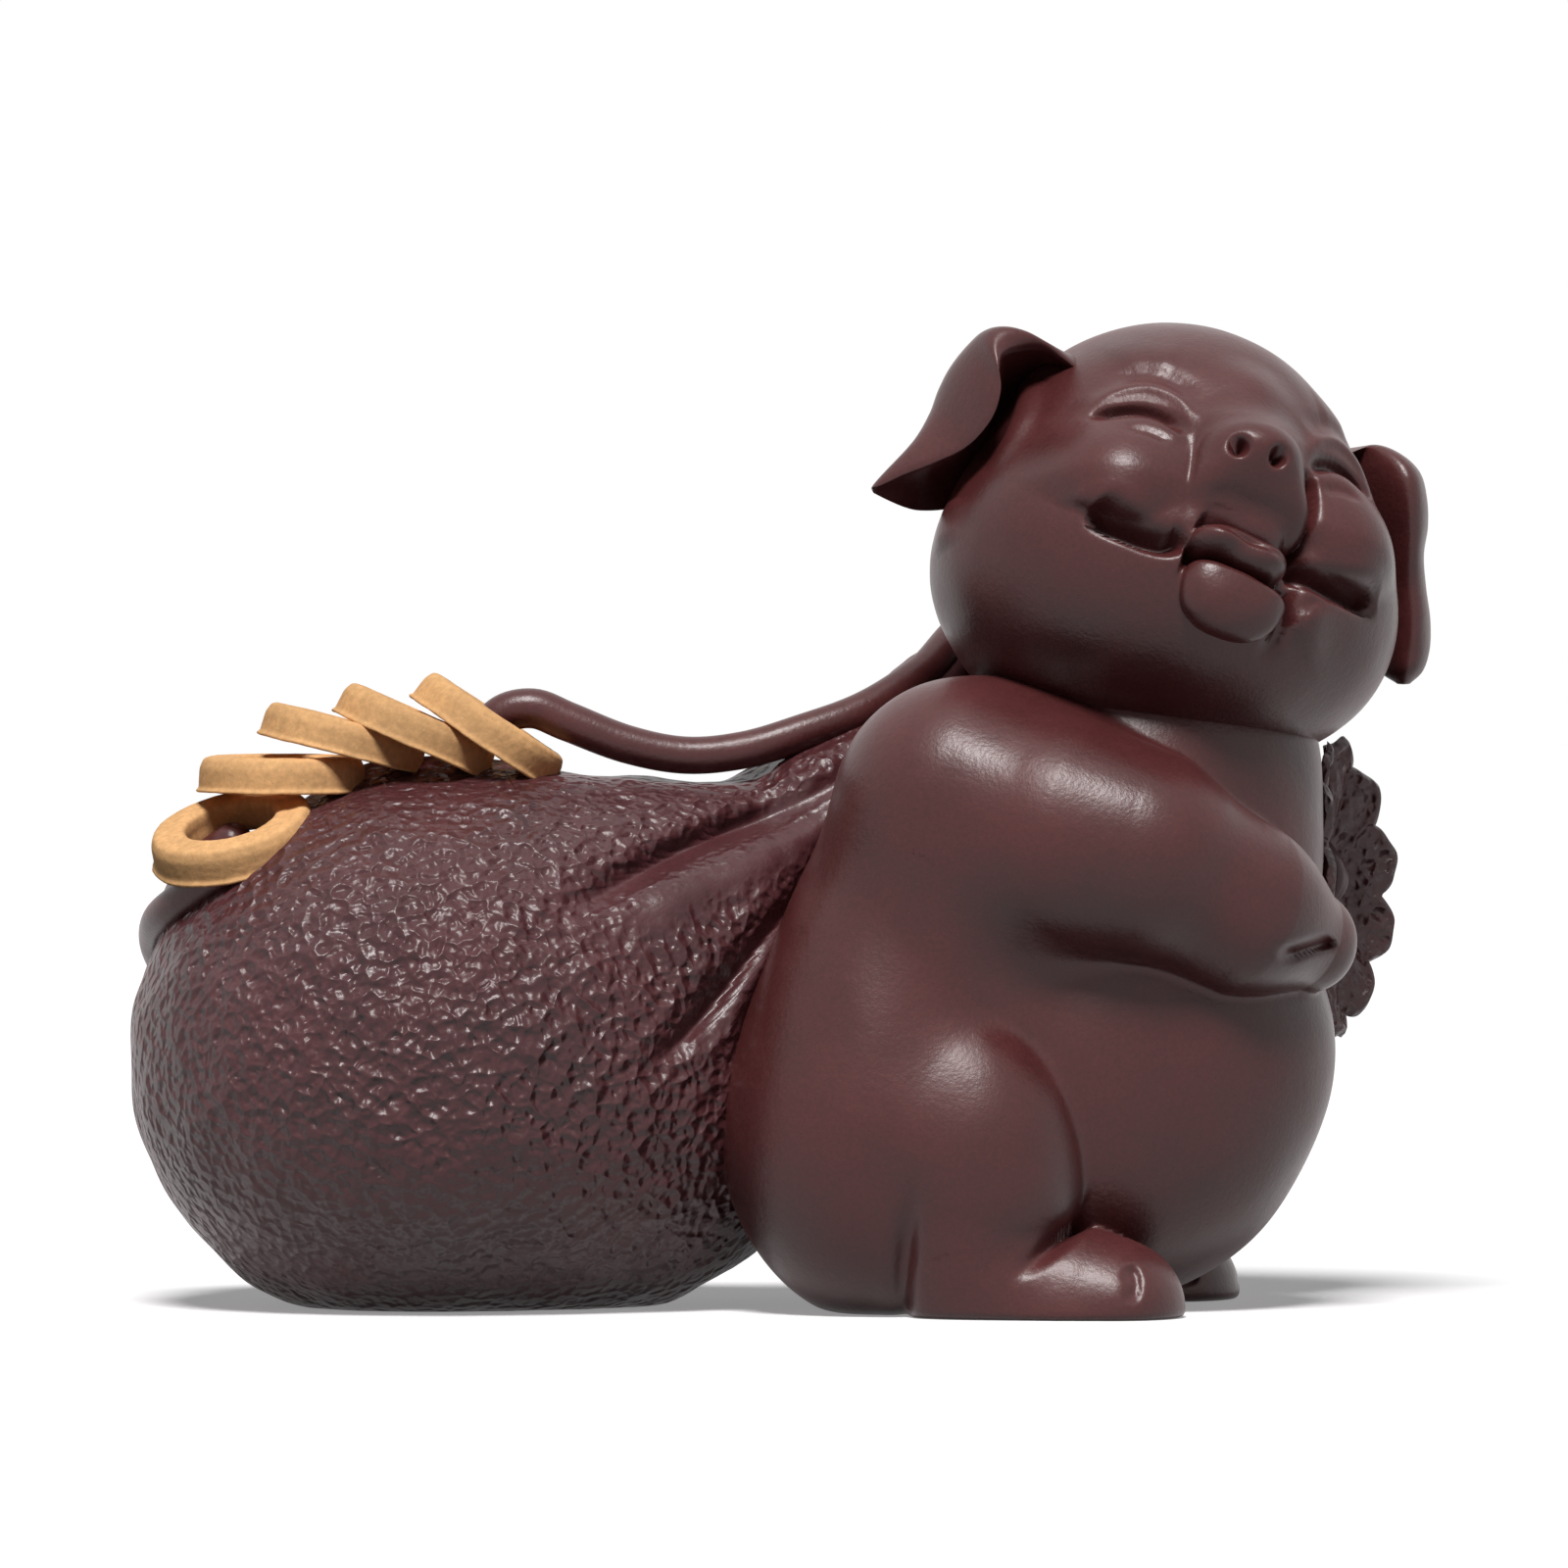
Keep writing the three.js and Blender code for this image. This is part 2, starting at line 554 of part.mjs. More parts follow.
add(figure, "sack_shell", sackSolid(), sackClay);
add(figure, "sack_neck", neckSolid, sackClay);
add(figure, "sack_frill", frillSolid, sackClay);
add(figure, "drawstring", cordSolid, purpleClay);
add(figure, "drawstring_end_near", tailSolid(nearTail), purpleClay);
add(figure, "drawstring_end_far", tailSolid(farTail), purpleClay);
coinSolids.forEach((body, i) => {
  const fitted = largest(cut(body, sackTool, ...coinTools.slice(0, i)));
  add(figure, `coin_${i + 1}`, fitted, yellowClay);
});

// The origin is under the middle of the figure, on the table.
figure.updateMatrixWorld(true);
const reach = new THREE.Box3().setFromObject(figure, true);
figure.position.set(-(reach.min.x + reach.max.x) / 2, -(reach.min.y + reach.max.y) / 2, -reach.min.z);

export default figure;
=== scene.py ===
"""The looks of a hand-built clay pig that drags a money sack over its far shoulder.

The pieces are worked out in millimetres in three frames, which the CAD source has too: the figure's
own (x to the pig's front, y away from the viewer, z up), the pig's (forwards, left, up) and its
head's (left, up, out of the snout). Each is brought to metres when its mesh is built.
"""

import math
from concurrent.futures import ThreadPoolExecutor

import bpy
import numpy as np
from bpy.props import FloatProperty, FloatVectorProperty, IntProperty, PointerProperty
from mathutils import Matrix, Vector


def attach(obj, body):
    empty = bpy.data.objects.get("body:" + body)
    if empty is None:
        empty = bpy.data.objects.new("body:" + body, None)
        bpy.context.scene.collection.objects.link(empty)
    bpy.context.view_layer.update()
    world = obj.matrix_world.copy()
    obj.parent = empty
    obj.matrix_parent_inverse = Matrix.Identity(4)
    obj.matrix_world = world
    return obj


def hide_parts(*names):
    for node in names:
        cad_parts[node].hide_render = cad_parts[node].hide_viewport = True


bl_info = {
    "name": "Clay Pig with a Money Sack",
    "version": (1, 0, 0),
    "blender": (4, 5, 0),
    "location": "3D View > Sidebar > Clay Pig",
    "description": "Builds the skins, clays, floor, lamps and camera of a clay pig figurine",
    "category": "Add Mesh",
}

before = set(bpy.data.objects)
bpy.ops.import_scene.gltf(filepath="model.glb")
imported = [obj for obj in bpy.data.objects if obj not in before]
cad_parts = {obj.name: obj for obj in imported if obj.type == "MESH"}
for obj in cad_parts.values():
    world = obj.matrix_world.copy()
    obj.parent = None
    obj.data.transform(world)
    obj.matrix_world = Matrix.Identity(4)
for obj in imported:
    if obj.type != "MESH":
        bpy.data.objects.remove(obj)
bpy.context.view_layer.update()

MM = 0.001
TABLE_CUT = 1.3  # how much of each round underside is cut away
FIGURE_SHIFT = np.array([-0.010, -0.060, -TABLE_CUT])  # puts the middle of the base on the origin
DETAIL = 1.0


class Place:
    """A frame inside the figure's: an origin and three axes."""

    def __init__(self, origin, axes):
        self.origin = np.array(origin, float)
        self.axes = np.array(axes, float)

    def out_of(self, points):
        """Points of this frame, in the figure's: coordinates times axes, plus the origin."""
        return points @ self.axes + self.origin

    def turned(self, directions):
        """Directions of this frame, in the figure's."""
        return directions @ self.axes


def pig_place(turn=-11.0):
    """The pig's frame is the figure's, turned about the upright and moved along x."""
    angle = math.radians(turn)
    forwards = (math.cos(angle), math.sin(angle), 0)
    left = (-math.sin(angle), math.cos(angle), 0)
    return Place((25, 0, 0), (forwards, left, (0, 0, 1)))


def head_place(turn=-66.7, tilt=21.1, roll=-17.5):
    """The snout's direction comes from a turn and a tilt; left and up are then rolled about it."""
    turn, tilt, roll = (math.radians(value) for value in (turn, tilt, roll))
    out = np.array([
        math.cos(turn) * math.cos(tilt), math.sin(turn) * math.cos(tilt), math.sin(tilt),
    ])
    level = np.array([-math.sin(turn), math.cos(turn), 0])
    left = level * math.cos(roll) + np.cross(out, level) * math.sin(roll)
    return Place((35.5, 0, 71.3), (left, np.cross(out, left), out))


FIGURE = Place((0, 0, 0), np.eye(3))
PIG = pig_place()
HEAD = head_place()


# Curves and lines.


def unit(directions):
    """Directions over their own lengths."""
    return directions / np.linalg.norm(directions, axis=-1, keepdims=True)


def smooth_path(points, steps):
    """A curve through the points, even in its steps: on each span a cubic whose end slopes come
    from the neighbours, weighted by the square root of the distances; then spaced out by its
    length."""
    points = np.array(points, float)
    ends = np.vstack([2 * points[0] - points[1], points, 2 * points[-1] - points[-2]])
    gaps = np.maximum(np.linalg.norm(np.diff(ends, axis=0), axis=1), 1e-6)[:, None] ** 0.5
    p0, p1, p2, p3 = (ends[i : len(ends) - 3 + i] for i in range(4))
    d0, d1, d2 = (gaps[i : len(gaps) - 2 + i] for i in range(3))
    slope1 = ((p1 - p0) / d0 - (p2 - p0) / (d0 + d1) + (p2 - p1) / d1) * d1
    slope2 = ((p2 - p1) / d1 - (p3 - p1) / (d1 + d2) + (p3 - p2) / d2) * d1
    t = np.linspace(0, 1, 13)[:, None, None]
    spans = (
        (2 * t**3 - 3 * t**2 + 1) * p1
        + (t**3 - 2 * t**2 + t) * slope1
        + (3 * t**2 - 2 * t**3) * p2
        + (t**3 - t**2) * slope2
    )
    fine = np.vstack([spans[:-1].transpose(1, 0, 2).reshape(-1, points.shape[1]), points[-1:]])
    run = np.concatenate([[0], np.cumsum(np.linalg.norm(np.diff(fine, axis=0), axis=1))])
    even = np.linspace(0, run[-1], steps + 1)
    return np.stack([np.interp(even, run, column) for column in fine.T], axis=1)


def along(path):
    """For points: their distance from the path's spans, and the share of the way along it where
    they are nearest. The nearest place on a span is the point's shadow on it, held between its
    ends."""
    start, run = path[:-1], np.diff(path, axis=0)
    length = np.maximum((run**2).sum(1), 1e-9)
    steps = len(run)

    def measure(points):
        shadow = points @ run.T - (start * run).sum(1)
        on_run = np.clip(shadow / length, 0, 1)
        offset = (points**2).sum(1)[:, None] - 2 * points @ start.T + (start**2).sum(1)
        squared = offset - 2 * on_run * shadow + on_run**2 * length
        nearest = squared.argmin(1)
        row = np.arange(len(points))
        share = (nearest + on_run[row, nearest]) / steps
        return np.sqrt(np.maximum(squared[row, nearest], 0)), share

    return measure


def beside_run(path):
    """At each place of a path, two directions square to its run: one level, one over that."""
    run = unit(np.gradient(path, axis=0))
    across = unit(np.cross((0, 0, 1), run))
    return across, np.cross(run, across)


def round_turn(columns):
    """Even angles of a full turn, one for each column."""
    return np.arange(columns) / columns * 2 * np.pi


def swell_in(x, low, high):
    """Nought below low, one above high, and a smooth rise between them."""
    t = np.clip((x - low) / (high - low), 0, 1)
    return t * t * (3 - 2 * t)


# Fields. A field gives each point's distance from a surface, negative inside it.


def egg(centre, radii):
    """An ellipsoid: how far the point is out in radii, times that less one, over its steepness."""
    centre, radii = np.array(centre, float), np.array(radii, float)

    def field(points):
        q = (points - centre) / radii
        near = np.maximum(np.sqrt((q * q).sum(1)), 1e-6)
        return near * (near - 1) / np.sqrt(((q / radii) ** 2).sum(1))

    return field


def soft_min(a, b, softness):
    """The lower of two fields, let down by a quarter of the softness where they are equal."""
    overlap = np.maximum(softness - np.abs(a - b), 0) / softness
    return np.minimum(a, b) - overlap * overlap * softness / 4


def blend(fields, softness):
    """The soft union of fields, one after another."""

    def field(points):
        total = fields[0](points)
        for other in fields[1:]:
            total = soft_min(total, other(points), softness)
        return total

    return field


def bar(balls, softness):
    """A round bar through balls: the distance from each span less a radius that runs evenly."""

    def span(first, second):
        (start, start_radius), (end, end_radius) = first, second
        start, run = np.array(start, float), np.array(end, float) - np.array(start, float)

        def field(points):
            share = np.clip((points - start) @ run / (run @ run), 0, 1)
            off = points - start - share[:, None] * run
            return np.sqrt((off * off).sum(1)) - start_radius - share * (end_radius - start_radius)

        return field

    return blend([span(a, b) for a, b in zip(balls, balls[1:])], softness)


MARK_REACH = 2.8  # how many widths off its line a mark is still worked out
SIDE_FADE = 6


def mark(path, width, depth, sharp=2.0, fade=(0.15, 0.15), flat=None, side=None):
    """A groove along a path (a ridge where the depth is negative): the depth times a bell of the
    distance over the width, which dies away over the given share of each end. A flat path has two
    coordinates, those that flat names, and reaches only points where the third has the sign side;
    there it comes in over the first SIDE_FADE from the middle."""
    line = smooth_path(path, 4 * (len(path) - 1))
    measure = along(line)
    low, high = line.min(0) - MARK_REACH * width, line.max(0) + MARK_REACH * width
    upright = None if flat is None else ({0, 1, 2} - set(flat)).pop()

    def add(points):
        seen = points if flat is None else points[:, flat]
        near = ((seen > low) & (seen < high)).all(1)
        if side is not None:
            near &= points[:, upright] * side > 0
            across = swell_in(points[near, upright] * side, 0, SIDE_FADE)
        distance, share = measure(seen[near])
        bell = np.exp(-((distance / width) ** sharp))
        if fade[0]:
            bell *= swell_in(share, 0, fade[0])
        if fade[1]:
            bell *= swell_in(1 - share, 0, fade[1])
        if side is not None:
            bell *= across
        level = np.zeros(len(points))
        level[near] = depth * bell
        return level

    return add


def side_mark(path, width, depth, fade, side, sharp=2.0):
    """A mark drawn as seen from one side: its path has the first coordinate and the height."""
    return mark(path, width, depth, sharp, fade, [0, 2], side)


def face_mark(path, width, depth, fade, sharp=2.0):
    """A mark on the face, whose path goes left and up."""
    return mark(path, width, depth, sharp, fade, [0, 1], 1)


def hand_waves(seed, wave, height):
    """The slight unevenness of a surface shaped by hand: the height times twice the mean of seven
    sine waves of about that length, each with its own direction and start."""
    chance = np.random.default_rng(seed)
    ways = chance.normal(size=(7, 3))
    lengths = wave * chance.uniform(0.7, 1.5, 7)
    ways *= (2 * np.pi / lengths / np.linalg.norm(ways, axis=1))[:, None]
    starts = chance.uniform(0, 2 * np.pi, 7)

    def add(points):
        return height * np.sin(points @ ways.T + starts).mean(1) * 2

    return add


def worked(field, marks):
    """A field with its marks added to it."""

    def total(points):
        level = field(points)
        for add in marks:
            level = level + add(points)
        return level

    return total


def on_table(field, edge=0.8):
    """A field with all below the table cut away, and a rounded edge there."""

    def cut(points):
        return -soft_min(-field(points), points[:, 2] - TABLE_CUT, edge)

    return cut


def joined(fields, softness, own=None, margin=0.25):
    """The soft union of fields in order, each with its own softness or rule for it. For the skin of
    one of them, own, the others are held no lower than that field less the margin, so that the skin
    follows the union as far as the seam and then runs on inside its neighbour."""

    def field(points):
        values = [each(points) for each in fields]
        if own is not None:
            floor = values[own] - margin
            values = [v if i == own else np.maximum(v, floor) for i, v in enumerate(values)]
        total = values[0]
        for value, soft in zip(values[1:], softness):
            total = soft_min(total, value, soft(points) if callable(soft) else soft)
        return total

    return field


# Skins.

SHARE_SIZE, WORKERS = 10000, 4
HALVED_TO = 0.15  # how near halving comes to a skin before straight lines take over


def levels(field, points):
    """The field at many points, worked out in shares, a few at a time."""
    shares = np.array_split(points, max(1, len(points) // SHARE_SIZE))
    with ThreadPoolExecutor(WORKERS) as workers:
        return np.concatenate(list(workers.map(field, shares)))


def follow(field, origins, directions, reach):
    """Where rays leave a field: halvings of the reach, then three steps to where a straight line
    through the last two levels is nought."""
    near = np.zeros(len(origins))
    far = np.full(len(origins), float(reach))

    def at(distance):
        return levels(field, origins + directions * distance[:, None])

    for _ in range(math.ceil(math.log2(reach / HALVED_TO))):
        middle = (near + far) / 2
        inside = at(middle) < 0
        near, far = np.where(inside, middle, near), np.where(inside, far, middle)
    near_level, far_level = at(near), at(far)
    for _ in range(3):
        share = near_level / np.minimum(near_level - far_level, -1e-9)
        middle = near + (far - near) * np.clip(share, 0.02, 0.98)
        level = at(middle)
        inside = level < 0
        near, far = np.where(inside, middle, near), np.where(inside, far, middle)
        near_level = np.where(inside, level, near_level)
        far_level = np.where(inside, far_level, level)
    share = near_level / np.minimum(near_level - far_level, -1e-9)
    return origins + directions * (near + (far - near) * np.clip(share, 0, 1))[:, None]


def slope(field, points, step=0.03):
    """The field's outward direction, from its levels at the corners of a tetrahedron."""
    corners = np.array([(1, 1, 1), (1, -1, -1), (-1, 1, -1), (-1, -1, 1)])
    around = np.stack([levels(field, points + step * corner) for corner in corners], axis=1)
    steep = around @ corners
    return steep / np.maximum(np.linalg.norm(steep, axis=1, keepdims=True), 1e-9)


def wrap(field, spine, columns, rows, axis=None, reach=40, packing=((0, 0), (1, 1))):
    """The skin of a field round a spine. The first parameter goes round it. The second goes from
    behind its first point, along it square to its run, and round its last point; rays leave there
    and are followed to the skin. The way round each end counts as a quarter turn on a third of the
    reach. The packing says which share of the rows lies before which share of the whole way. It
    gives the rings (rows, columns, 3) and the two end points."""
    columns, rows = round(columns * DETAIL), round(rows * DETAIL)
    spine = np.array(spine, float).reshape(-1, 3)
    if len(spine) > 1:
        spine = smooth_path(spine, 40)
        run = np.gradient(spine, axis=0)
    else:
        run = np.array([axis], float)
    run = unit(run)
    length = np.linalg.norm(spine[-1] - spine[0])
    cap = reach / 3 * np.pi / 2
    place = np.interp(np.linspace(0, 1, rows + 1), *np.transpose(packing))
    place = place * (length + 2 * cap) - cap
    tilt = np.where(place < 0, place / cap, np.where(place > length, (place - length) / cap, 0))
    tilt = tilt * np.pi / 2
    share = np.clip(place / max(length, 1e-9), 0, 1) * (len(spine) - 1)
    pick = [np.interp(share, np.arange(len(spine)), column) for column in spine.T]
    origins = np.stack(pick, axis=1)
    runs = np.stack([np.interp(share, np.arange(len(run)), column) for column in run.T], axis=1)
    runs = unit(runs)
    reference = np.eye(3)[np.abs(runs).mean(0).argmin()]
    across = unit(np.cross(reference, runs))
    over = np.cross(runs, across)
    turn = round_turn(columns)[None, :, None]
    flat = across[:, None] * np.cos(turn) + over[:, None] * np.sin(turn)
    rays = flat * np.cos(tilt)[:, None, None] + runs[:, None] * np.sin(tilt)[:, None, None]
    starts = np.broadcast_to(origins[:, None], rays.shape)
    rings = follow(field, starts[1:-1].reshape(-1, 3), rays[1:-1].reshape(-1, 3), reach)
    tips = follow(field, origins[[0, -1]], np.stack([-runs[0], runs[-1]]), reach)
    return rings.reshape(rows - 1, columns, 3), tips


def tube(path, radius, columns):
    """Rings round a path: at each place a circle square to the run, whose radius may be an array
    (rows, columns). The ends are closed on the path's own ends."""
    across, over = beside_run(path)
    turn = round_turn(columns)[None, :, None]
    wide = np.broadcast_to(radius, (len(path), columns))[..., None]
    rings = path[:, None] + wide * (across[:, None] * np.cos(turn) + over[:, None] * np.sin(turn))
    return rings, path[[0, -1]]


def in_scene(name, mesh):
    """A new object with that mesh."""
    piece = bpy.data.objects.new(name, mesh)
    bpy.context.scene.collection.objects.link(piece)
    return piece


def turned_in(points, faces):
    """Whether a closed mesh's faces point inwards, by the sign of its volume."""
    a, b, c = (points[faces[:, i]] - points.mean(0) for i in range(3))
    return (np.cross(a, b) * c).sum() < 0


def surface_mesh(name, rings, tips, place=FIGURE, normals=None, rubbed=None):
    """A closed mesh over rings of points, with a fan to one point at each end and its faces turned
    outwards. Normals, and how far the sack's pits are rubbed out, are given for every ring point,
    then both ends."""
    rows, columns = rings.shape[:2]
    points = np.vstack([rings.reshape(-1, 3), tips])
    index = np.arange(rows * columns).reshape(rows, columns)
    beside = np.roll(index, -1, axis=1)
    quads = np.stack([index[:-1], beside[:-1], beside[1:], index[1:]], axis=-1).reshape(-1, 4)
    first, last = np.full(columns, rows * columns), np.full(columns, rows * columns + 1)
    fans = np.vstack([
        np.stack([first, beside[0], index[0]], axis=-1),
        np.stack([last, index[-1], beside[-1]], axis=-1),
    ])
    triangles = np.vstack([quads[:, [0, 1, 2]], quads[:, [0, 2, 3]], fans])
    if turned_in(points, triangles):
        quads, fans = quads[:, ::-1], fans[:, ::-1]
    mesh = bpy.data.meshes.new(name)
    mesh.vertices.add(len(points))
    figure_points = (place.out_of(points) + FIGURE_SHIFT) * MM
    mesh.vertices.foreach_set("co", figure_points.astype(np.float32).ravel())
    corners = np.concatenate([quads.ravel(), fans.ravel()]).astype(np.int32)
    mesh.loops.add(len(corners))
    mesh.loops.foreach_set("vertex_index", corners)
    starts = np.concatenate([
        np.arange(len(quads)) * 4,
        len(quads) * 4 + np.arange(len(fans)) * 3,
    ]).astype(np.int32)
    mesh.polygons.add(len(starts))
    mesh.polygons.foreach_set("loop_start", starts)
    mesh.polygons.foreach_set("use_smooth", np.ones(len(starts), bool))
    mesh.update(calc_edges=True)
    mesh.validate()
    if rubbed is not None:
        attribute = mesh.attributes.new("smoothed", "FLOAT", "POINT")
        attribute.data.foreach_set("value", rubbed.astype(np.float32))
    if normals is not None:
        mesh.normals_split_custom_set_from_vertices(place.turned(normals))
    return in_scene(name, mesh)


def finish_piece(piece, nodes, clay):
    """The piece rides on the figure, stands for its CAD nodes and takes its slot and its clay."""
    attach(piece, "root")
    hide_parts(*nodes)
    piece.data.materials.append(clay)


def skin_piece(name, nodes, skin, whole, place, clay, smoothed=None):
    """A piece over a wrapped skin, shaded by the slope of the whole union, so that light runs over
    its seams."""
    rings, tips = skin
    points = np.vstack([rings.reshape(-1, 3), tips])
    rubbed = None if smoothed is None else smoothed(points)
    piece = surface_mesh(name, rings, tips, place, slope(whole, points), rubbed)
    finish_piece(piece, nodes, clay)
    return piece


# The pig's body, in its own frame. A side is -1 for its right, the near one, and 1 for its left.

SIDES = {"right": -1, "left": 1}

ARMS = {
    -1: [((-6.5, -13.6, 48), 10), ((3.5, -15.2, 44.6), 10), ((10.6, -15.6, 43), 8.5),
         ((18.6, -11, 38.2), 7.2), ((23.8, -4.6, 35.2), 4.8)],
    1: [((-5, 15.6, 47.5), 9.2), ((9, 18.4, 41), 8.2), ((16.4, 15.6, 37.6), 5.8),
        ((18.4, 12.4, 37.2), 4)],
}


def torso_field():
    """Belly, chest, neck and lap, run together."""
    belly = egg((0, 0, 25), (25.9, 19.5, 21.5))
    chest = egg((2.8, 0.6, 42), (21.8, 17.5, 17))
    neck = egg((6.7, 2.2, 52), (17.3, 14.6, 13))
    lap = egg((2.8, 0, 16), (17.6, 16, 14))
    flanks = [bar([((-6, side * 11, 46), 11.5), ((-10.5, side * 10.6, 34), 11.8),
                   ((-13.5, side * 10.6, 20), 13)], 5) for side in SIDES.values()]
    return blend([belly, chest, neck, lap, *flanks], 5)


def leg_creases(side):
    """The crease behind the shank and the one where the thigh folds over the foot."""
    behind = [(-8, 16.4), (-9.3, 9), (-10.3, 3), (-10.8, 0)]
    over = [(7, 13), (5.8, 11), (4.3, 8.9), (2.3, 6.9), (-0.6, 4.8)]
    return [
        side_mark(behind, 1.1, 1, (0.6, 0), side),
        side_mark(over, 0.8, 1.3, (0.3, 0.5), side),
    ]


def haunch_field(side):
    """The hip and the raised knee."""
    hip = egg((-13.6, side * 14.4 - 0.4, 18), (14.4, 12, 17.6))
    thigh = egg((-4.2, side * 16.2 - 0.4, 15.2), (9.8, 10, 13.4))
    return worked(blend([hip, thigh], 4), leg_creases(side))


def foot_field(side):
    """The shank and the cloven foot, with the slit between its toes."""
    shank = egg((-4.2, side * 17, 6), (8.4, 8, 10))
    foot = egg((3, side * 16.7, 1.2), (11, 7.7, 8.6))
    toes = egg((9.6, side * 16.4, 2.4), (4.4, 6.6, 4.8))
    slit = mark([(10, 6.4), (10.9, 4.8), (10.8, 2.6)], 0.6, 0.55, 2, (0.3, 0.3), flat=[0, 2])
    return worked(blend([shank, foot, toes], 2.5), [slit, *leg_creases(side)])


def arm_field(side):
    """A bar that tapers to the hoof, with a slit across its end."""
    slit = side_mark([(22.8, 33.8), (25.2, 34.7), (27.4, 35.4)], 0.6, 0.9, (0.3, 0.2), side)
    return worked(bar(ARMS[side], 4), [slit] if side < 0 else [])


def body_fields():
    """The body's parts in order, and how softly each joins the ones before it: softly at the hip
    and shoulder, and with a crease in front."""
    parts = [torso_field()]
    softness = []
    for side in SIDES.values():
        parts.append(haunch_field(side))
        softness.append(lambda p: 6.5 - 5.5 * swell_in(p[:, 0], -16, 0))
    for side in SIDES.values():
        parts.append(foot_field(side))
        softness.append(lambda p: 2.5 - 1.7 * swell_in(p[:, 0], -6, 2))
    for side in SIDES.values():
        parts.append(arm_field(side))
        softness.append(lambda p: 6 - 5.2 * swell_in(p[:, 0], -6, 12))
    waves = hand_waves(3, 9, 0.05)
    return [worked(part, [waves]) for part in parts], softness


# The head, in its own frame. Lines on the face are given by left and up alone.

FACE_ROWS = ((0, 0), (0.12, 0.5), (0.18, 0.58), (1, 1))  # most of the head's rows lie on its face
FACE_MIDDLE = -0.8  # the face's middle line lies a little to the pig's right
NOSTRILS = [((-3.9, -1.1, 26), (-2.8, -0.6, 21.4)), ((0.5, -1.2, 26.4), (0.1, -0.6, 21.6))]
SKULL_MARKS = [
    # points, width, depth, fade at each end
    ([(5, 18, 6), (10, 14, 10)], 7, 1.2, (0, 0)),  # the forehead's far side is flatter
    ([(17.5, 9, 8), (19, 6, 5)], 6, 2.6, (0, 0)),  # and so is the temple before the far ear
]
NEAR_EAR_MARKS = [
    ([(-15.4, 10.8, 7.6), (-16.9, 9.9, 4.2), (-17.9, 6.4, 6.2), (-18.9, 2.4, 7.4),
      (-20.4, -1.6, 6)], 1.3, -1.2, (0.15, 0.3)),  # its root's edge on the head
    ([(-20.3, -2.6, 1.5), (-20.6, -5.2, 0.6), (-20.9, -8, 0.4)], 2.2, -0.9, (0.2, 0.3)),
]
EYE_LINES = {
    # name: points, width, depth, sharpness; for the pig's right eye
    "slit": ([(-15, 1.9), (-13.2, 2.9), (-10.8, 3.5), (-8.6, 2.9), (-6.7, 1.1)], 0.62, 1.3, 2),
    "lid crest": ([(-16.6, 2), (-14.4, 4.2), (-12.6, 5.6), (-10.4, 6.2), (-8.2, 5.4), (-6.9, 3.8),
                   (-6.2, 1.6)], 0.75, -0.42, 2),
    "brow fold": ([(-13.4, 6.7), (-11.8, 7.7), (-9.8, 8), (-7.8, 7.2), (-6.2, 5.4)], 1.1, 0.42, 2),
    "lower lid": ([(-13.2, 1.1), (-10.8, 1.7), (-8.4, 1), (-6.8, -0.2)], 0.7, -0.16, 2),
    "lower line": ([(-12.8, 0.1), (-10.6, 0.4), (-8.2, -0.4)], 0.5, 0.2, 2),
    "brow": ([(-12.8, 9.4), (-10.2, 10.2), (-7.6, 9.4)], 2.6, -0.2, 2),
}
SMILES = {
    -1: [(-14, -7), (-13, -7.5), (-11.8, -8.2), (-10, -8.8), (-8, -9.3), (-6.4, -9.3),
         (-5.2, -8.4)],
    1: [(15.6, -6.8), (14, -7.5), (12, -8), (9.8, -8.3), (7.4, -8.3), (5, -8)],
}
MOUTH_LINES = {
    # name: points, width, depth, fade at each end
    "beside the snout": ([(-5.5, 1.8), (-5.9, -1), (-6, -4.4), (-5.4, -7.4)], 0.7, 0.6, (0.4, 0.3)),
    "far crease": ([(4.8, 1.4), (5.4, -1), (5.4, -3.6), (4.9, -6.4), (4.7, -9)], 0.7, 2,
                   (0.2, 0.1)),
    "far corner": ([(5.3, -6.4), (5, -9.6)], 1.7, 1.8, (0, 0)),
    "beside the lip": ([(4.8, -10), (5.8, -12.2), (5.5, -14.2), (3.9, -15.4)], 0.9, 0.9,
                       (0.1, 0.5)),
    "under the tongue": ([(-5.2, -8.8), (-1, -9.4), (4.4, -10.2)], 1.8, 3.2, (0.1, 0.1)),
    "chin fold": ([(7.6, -10.6), (8.6, -12.4), (8.2, -14.4)], 2.2, -0.7, (0.4, 0.4)),
}


def hung(block, line, softness):
    """A block cut off softly below a line, which gives its lower edge for each place across."""

    def field(points):
        return -soft_min(-block(points), points[:, 1] - line(points[:, 0]), softness)

    return field


def muzzle_field():
    """A block of three eggs whose front turns under above the mouth, with two nostrils."""
    block = blend([
        egg((-0.8, -0.1, 19.2), (5.1, 3.9, 5.8)),
        egg((-2.4, -4.3, 18.2), (4.1, 3.6, 5.2)),
        egg((1.9, -4.5, 18), (3.9, 3.6, 5.2)),
    ], 3)

    def turned_under(points):
        past = 0.62 * points[:, 2] - 0.78 * points[:, 1] - 16.6
        return -soft_min(-block(points), -past, 1.4)

    snout = hung(turned_under, lambda left: -6.5 - 0.03 * left**2, 0.7)
    holes = [mark([outside, inside], 0.72, 1.7, 2.4, fade=(0, 0)) for outside, inside in NOSTRILS]
    return worked(snout, holes)


